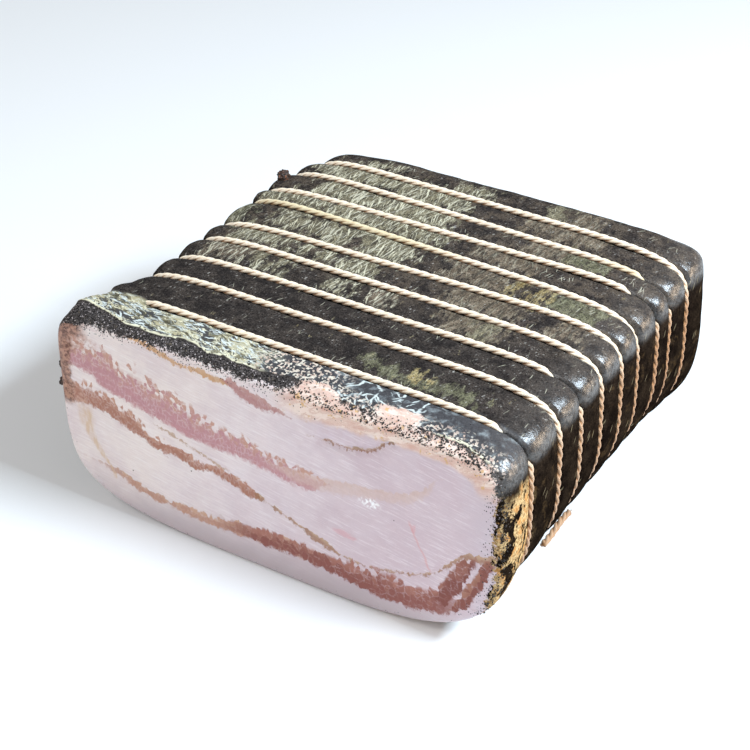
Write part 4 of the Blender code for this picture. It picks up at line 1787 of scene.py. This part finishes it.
@dataclass(frozen=True)
class SlabFinish:
    """The whole slab: the cut face, the rind, and the peppered edge where they meet."""

    cut: CutFinish = field(default_factory=CutFinish)
    rind: RindFinish = field(default_factory=RindFinish)

    def edge(self, paint: Painter, place: Wire, top: Wire, bare: Wire) -> Wire:
        """How far a point lies beyond the edge of the bare fat.

        Args:
            paint: The painter.
            place: The position.
            top: Where the surface looks up.
            bare: Where the fat is bare as far as the casing's edge.

        Returns:
            The distance in millimetres, more than 0 on the rind.
        """
        x, _, z = paint.axes(place)
        rim = paint.attribute("rim")
        low = paint.fall(paint.attribute("upward"), -0.75, -0.25)
        right = paint.rise(x, 80.0, 100.0) * (1.0 - top)
        left = paint.fall(x, -108.0, -90.0) * (1.0 - top) * paint.rise(z, 40.0, 55.0)
        sway = (paint.noise(place, 11.0, 2.0) - 0.5) * 5.0
        tooth = (paint.noise(place, 3.4, 5.0, 0.8) - 0.5) * 10.0
        tooth = tooth + (paint.noise(place, 0.8, 2.0, 0.7) - 0.5) * 5.0
        start = 3.0 + low * 5.0 + left * 1.0 - right * 2.5 + sway
        tongue = paint.spot(place, (57.0, -88.0, 97.0), (15.0, 9.0, 30.0)) * 8.0
        tongue = tongue + paint.spot(place, (22.0, -92.0, 97.0), (12.0, 6.0, 30.0)) * 4.0
        over = paint.attribute("past") + 0.6 - tongue + sway * 0.5
        edge = paint.add("ShaderNodeMix", {"data_type": "FLOAT"}, {0: bare, 2: rim - start, 3: over})
        return edge + tooth

    def fringe(self, paint: Painter, place: Wire, colour: Wire, top: Wire, bare: Wire) -> Wire:
        """Adds the peach skin under the upper right edge, and the pepper strewn on it.

        Args:
            paint: The painter.
            place: The position.
            colour: The colour of the fat.
            top: Where the surface looks up.
            bare: Where the fat is bare as far as the casing's edge.

        Returns:
            The colour.
        """
        x, _, z = paint.axes(place)
        rim = paint.attribute("rim")
        sway = paint.noise(place, 8.0, 3.0, 0.6) - 0.5
        peach = paint.rise(x, -2.0, 16.0) * paint.rise(rim + sway * 9.0, -8.0, -3.0)
        peach = peach * paint.rise(z, 76.0, 84.0)
        drawn = paint.stretched(paint.warped(place, 5.0, 2.0), (0.3, 1.0, 1.1), (0, 14, 0))
        fold = paint.noise(drawn, 3.2, 4.0, 0.65)
        tone = paint.mix(paint.rise(fold, 0.30, 0.62), (0.62, 0.36, 0.265), (0.82, 0.655, 0.55))
        tone = paint.mix(paint.fall(abs(fold - 0.5), 0.004, 0.02) * 0.6, tone, (0.52, 0.27, 0.16))
        colour = paint.mix(peach * 0.85, colour, tone)
        gold = paint.rise(paint.noise(place, 2.6, 3.0), 0.61, 0.67)
        colour = paint.mix(peach * gold * 0.75, colour, (0.62, 0.36, 0.12))
        cell, chance = paint.cells(place, 0.85)
        right = paint.rise(x, 84.0, 98.0) * (1.0 - top)
        near = paint.rise(rim + sway * 8.0, -5.0 - right * 2.0, 3.0) * top.over(right).over(0.10)
        near = near * (1.0 - bare * 0.84)
        dots = paint.fall(cell, 0.26, 0.42) * paint.fall(chance, near * 0.55, near * 0.55 + 0.05)
        colour = paint.mix(dots * paint.rise(near, 0.02, 0.12), colour, (0.022, 0.017, 0.016))
        cell, chance = paint.cells(place, 4.5)
        few = paint.fall(chance, 0.06 + peach * 0.4, 0.07 + peach * 0.4)
        stray = paint.fall(cell, 0.06, 0.11) * few
        return paint.mix(stray, colour, (0.05, 0.03, 0.025))

    def crust(self, paint: Painter, place: Wire, colour: Wire, top: Wire) -> Wire:
        """Adds the pepper band before the casing's edge.

        Args:
            paint: The painter.
            place: The position.
            colour: The colour of the rind.
            top: Where the surface looks up.

        Returns:
            The colour.
        """
        past = paint.attribute("past")
        rim = paint.attribute("rim")
        band = paint.fall(past, -0.6, 0.1) * top
        pepper = paint.mix(paint.rise(paint.noise(place, 0.75, 4.0, 0.75), 0.40, 0.66), (0.008, 0.007, 0.007),
                           (0.15, 0.13, 0.125))
        colour = paint.mix(band, colour, pepper)
        cell, chance = paint.cells(place, 0.8)
        share = 0.72 - paint.fall(rim + paint.noise(place, 4.0, 3.0) * 8.0, 3.0, 10.0) * 0.45
        salt = paint.fall(cell, 0.22, 0.42) * paint.rise(chance, share, share + 0.06)
        return paint.mix(band * salt * 0.9, colour, (0.62, 0.54, 0.53))

    def build(self) -> bpy.types.Material:
        """Makes the material.

        Returns:
            The material.
        """
        paint = Painter("cured_slab")
        place = paint.place()
        x, _, _ = paint.axes(place)
        top = paint.rise(paint.attribute("upward"), 0.3, 0.8)
        bare = paint.rise(x + (paint.noise(place, 11.0, 2.0) - 0.5) * 16.0, 4.0, 20.0) * top
        fat_colour, lean = self.cut.colour(paint, place)
        rind_colour, film = self.rind.colour(paint, place)
        fat_colour = self.fringe(paint, place, fat_colour, top, bare)
        crust = self.crust(paint, place, rind_colour, top)
        height = paint.noise(place, 1.0, 4.0, 0.7)
        soft = paint.noise(place, 3.0, 3.0, 0.6)
        fat_normal = paint.bump(height * 0.35 + soft * 0.3, 0.35 * MM, 0.55)
        grit = paint.noise(place, 0.7, 3.0, 0.7) * 0.5 + paint.noise(place, 2.2, 3.0) * 0.5
        wrinkle = paint.noise(paint.stretched(place, (0.4, 1.5, 1.0), (0, 0, -12)), 1.8, 3.0)
        rind_normal = paint.bump(grit * 0.7 + wrinkle * 0.5 * top, 0.5 * MM, 0.75)
        fat = paint.shader(fat_colour, 0.46 + lean * 0.1 - (height - 0.5) * 0.25, fat_normal,
                           {"Subsurface Weight": 0.12, "Subsurface Radius": (1.0, 0.45, 0.35),
                            "Subsurface Scale": 0.003, "Specular IOR Level": 0.38})
        dull = paint.shader(crust, 0.8, rind_normal, {"Specular IOR Level": 0.0})
        shine = 0.30 + (paint.noise(place, 1.2, 3.0) - 0.5) * 0.25
        glossy = paint.shader(crust, shine, rind_normal, {"Specular IOR Level": 1.0})
        patchy = 0.45 + 0.55 * paint.rise(paint.noise(place, 2.0, 4.0, 0.7), 0.38, 0.58)
        gloss = paint.rise(paint.attribute("corner"), 0.25, 0.70) * patchy + film * 0.08 + top * 0.04
        skin = paint.either(gloss.under(1.0), dull, glossy)
        rind = paint.rise(self.edge(paint, place, top, bare), -0.5, 0.5)
        return paint.finish(paint.either(rind, fat, skin))


# Finishes of the twine and the crumbs

@dataclass(frozen=True)
class TwineFinish:
    """Undyed cotton twine, browned where it touches the rind, with painted shade on its underside, between
    its strands and on the slab's right side.
    """

    cream: Colour = (0.74, 0.545, 0.365)
    light: Colour = (0.92, 0.80, 0.635)
    # brown serves both the stain from the rind and the painted shade on the twine
    brown: Colour = (0.30, 0.14, 0.055)
    green: Colour = (0.74, 0.72, 0.46)

    def build(self) -> bpy.types.Material:
        """Makes the material.

        Returns:
            The material.
        """
        paint = Painter("cotton_twine")
        place = paint.place()
        x, y, z = paint.axes(place)
        facing = paint.attribute("facing")
        under = paint.attribute("front") * 0.70 - facing * 0.72
        valley = paint.attribute("valley")
        along = paint.vector(paint.attribute("run") * 0.6, paint.attribute("strand") * 4.0, y * 0.3)
        fibre = paint.noise(along, 1.0, 3.0, 0.6)
        colour = paint.mix(paint.rise(fibre, 0.30, 0.60), self.cream, self.light)
        stain = paint.noise(place, 14.0, 4.0, 0.65)
        # painted shade and stain: brown on the side of the twine turned down and to the front, away from the
        # light
        low = paint.rise(under + (stain - 0.5) * 1.3, 0.35, 1.05)
        # painted shade: twine on the slab's right side is browned, more towards the back
        shade = paint.rise(x, 92.0, 104.0) * paint.fall(z, 72.0, 98.0)
        # painted shade, with some stain: brown in the valleys between strands on the lower side
        seam = paint.rise(valley, 0.16, 0.36) * paint.rise(under + (stain - 0.5) * 1.8, -0.85, 0.15)
        brown = (low * 0.72 + seam * 0.80 + shade * (0.82 + 0.14 * paint.rise(y, -60.0, 60.0))).under(1.0)
        colour = paint.mix(brown, colour, self.brown)
        tint = paint.spot(place, (-45.0, 22.0, 97.0), (75.0, 7.0, 30.0))
        tint = tint.over(paint.spot(place, (85.0, 54.0, 92.0), (22.0, 7.0, 16.0)))
        colour = paint.mix(tint * 0.5, colour, self.green, Blend.MULTIPLY)
        normal = paint.bump(fibre, 0.16 * MM, 0.8)
        shader = paint.shader(colour, 0.82, normal, {"Specular IOR Level": 0.25, "Sheen Weight": 0.15})
        return paint.finish(shader)


@dataclass(frozen=True)
class CrumbFinish:
    """A crumb's material: two tones, and how rough its surface is."""

    name: str
    dark: Colour
    light: Colour
    size: float
    roughness: float

    def build(self) -> bpy.types.Material:
        """Makes the material.

        Returns:
            The material.
        """
        paint = Painter(self.name)
        place = paint.place()
        tone = paint.rise(paint.noise(place, self.size, 3.0, 0.7), 0.50, 0.66)
        normal = paint.bump(paint.noise(place, self.size * 0.35, 3.0, 0.7), self.size * 0.12 * MM)
        colour = paint.mix(tone, self.dark, self.light)
        return paint.finish(paint.shader(colour, self.roughness, normal, {"Specular IOR Level": 0.4}))


PEPPER = CrumbFinish("black_pepper", (0.018, 0.013, 0.011), (0.16, 0.125, 0.09), 2.0, 0.62)
DRIED_MEAT = CrumbFinish("dried_meat", (0.030, 0.017, 0.012), (0.22, 0.09, 0.05), 1.6, 0.45)


# The studio

@dataclass
class Studio:
    """The floor, the lights and the camera."""

    eye: tuple[float, float, float] = (0.38114876, -0.62745263, 0.54812397)
    right: tuple[float, float, float] = (0.85229527, 0.52297753, -0.00934228)
    up: tuple[float, float, float] = (-0.29003785, 0.48738668, 0.82360929)
    lens: float = 96.719
    sensor: float = 36.0
    floor_size: float = 6.0
    target: tuple[float, float, float] = (0.0, 0.0, 0.05)
    room_colour: Colour = (0.97, 0.98, 1.0)
    room_strength: float = 0.30

    def add_camera(self) -> None:
        """Places the camera where the slab was seen from."""
        data = bpy.data.cameras.new("view")
        data.sensor_fit = "HORIZONTAL"
        data.sensor_width = self.sensor
        data.lens = self.lens
        data.clip_end = 50.0
        camera = bpy.data.objects.new("view", data)
        right, up = Vector(self.right), Vector(self.up)
        turn = Matrix((right, up, right.cross(up))).transposed().to_4x4()
        camera.matrix_world = Matrix.Translation(self.eye) @ turn
        bpy.context.scene.collection.objects.link(camera)
        bpy.context.scene.camera = camera

    def add_light(self, name: str, place: Sequence[float], size: Sequence[float], power: float,
                  colour: Colour = (1.0, 1.0, 1.0)) -> None:
        """Adds a soft rectangular light that looks at the slab.

        Args:
            name: The light's name.
            place: Where it hangs.
            size: Its width and height.
            power: Its power in watts.
            colour: Its colour.
        """
        data = bpy.data.lights.new(name, "AREA")
        data.shape = "RECTANGLE"
        data.size, data.size_y = size
        data.energy = power
        data.color = colour
        light = bpy.data.objects.new(name, data)
        spot = Vector(place)
        turn = (Vector(self.target) - spot).to_track_quat("-Z", "Y").to_matrix().to_4x4()
        light.matrix_world = Matrix.Translation(spot) @ turn
        bpy.context.scene.collection.objects.link(light)

    def add_floor(self) -> None:
        """Lays the pale floor."""
        mesh = bmesh.new()
        bmesh.ops.create_grid(mesh, x_segments=1, y_segments=1, size=self.floor_size)
        data = bpy.data.meshes.new("floor")
        mesh.to_mesh(data)
        mesh.free()
        paint = Painter("pale_floor")
        shade = paint.noise(paint.place(), 900.0)
        colour = paint.mix(shade, (0.86, 0.86, 0.86), (0.90, 0.90, 0.90))
        data.materials.append(paint.finish(paint.shader(colour, 0.9, None, {"Specular IOR Level": 0.1})))
        floor = bpy.data.objects.new("floor", data)
        bpy.context.scene.collection.objects.link(floor)

    def build(self) -> None:
        """Sets up the whole studio."""
        self.add_camera()
        self.add_floor()
        self.add_light("key", (-0.75, -1.10, 1.35), (0.9, 0.9), 12.8)
        self.add_light("fill", (0.45, -1.50, 0.50), (1.0, 0.8), 1.5)
        self.add_light("strip", (0.75, 0.05, 0.80), (0.36, 0.20), 19.0, (0.74, 0.88, 1.0))
        self.add_light("glow", (1.00, 0.55, 0.18), (0.40, 0.28), 6.0, (1.0, 0.80, 0.60))
        bpy.context.scene.view_settings.view_transform = "Standard"
        world = bpy.data.worlds.new("pale_room")
        world.use_nodes = True
        backdrop = world.node_tree.nodes["Background"]
        backdrop.inputs["Color"].default_value = (*self.room_colour, 1.0)
        backdrop.inputs["Strength"].default_value = self.room_strength
        bpy.context.scene.world = world


def main() -> None:
    """Builds the slab and what is on it, and reports each piece."""
    logging.basicConfig(level=logging.INFO, format="%(message)s")
    Studio().build()
    form = SlabForm()
    slab = Slab(form)
    pieces = [slab.build(SlabFinish().build())]
    twine = Twine(form)
    cotton = TwineFinish().build()
    pieces += twine.build_turns(cotton)
    pieces.append(TwineTail(twine).build(cotton))
    pieces.append(Crumbs(slab).build(PEPPER.build()))
    pieces.append(DriedTags(form).build(DRIED_MEAT.build()))
    for piece in pieces:
        LOG.info("%s: %d faces", piece.name, len(piece.data.polygons))


if __name__ == "__main__":
    main()
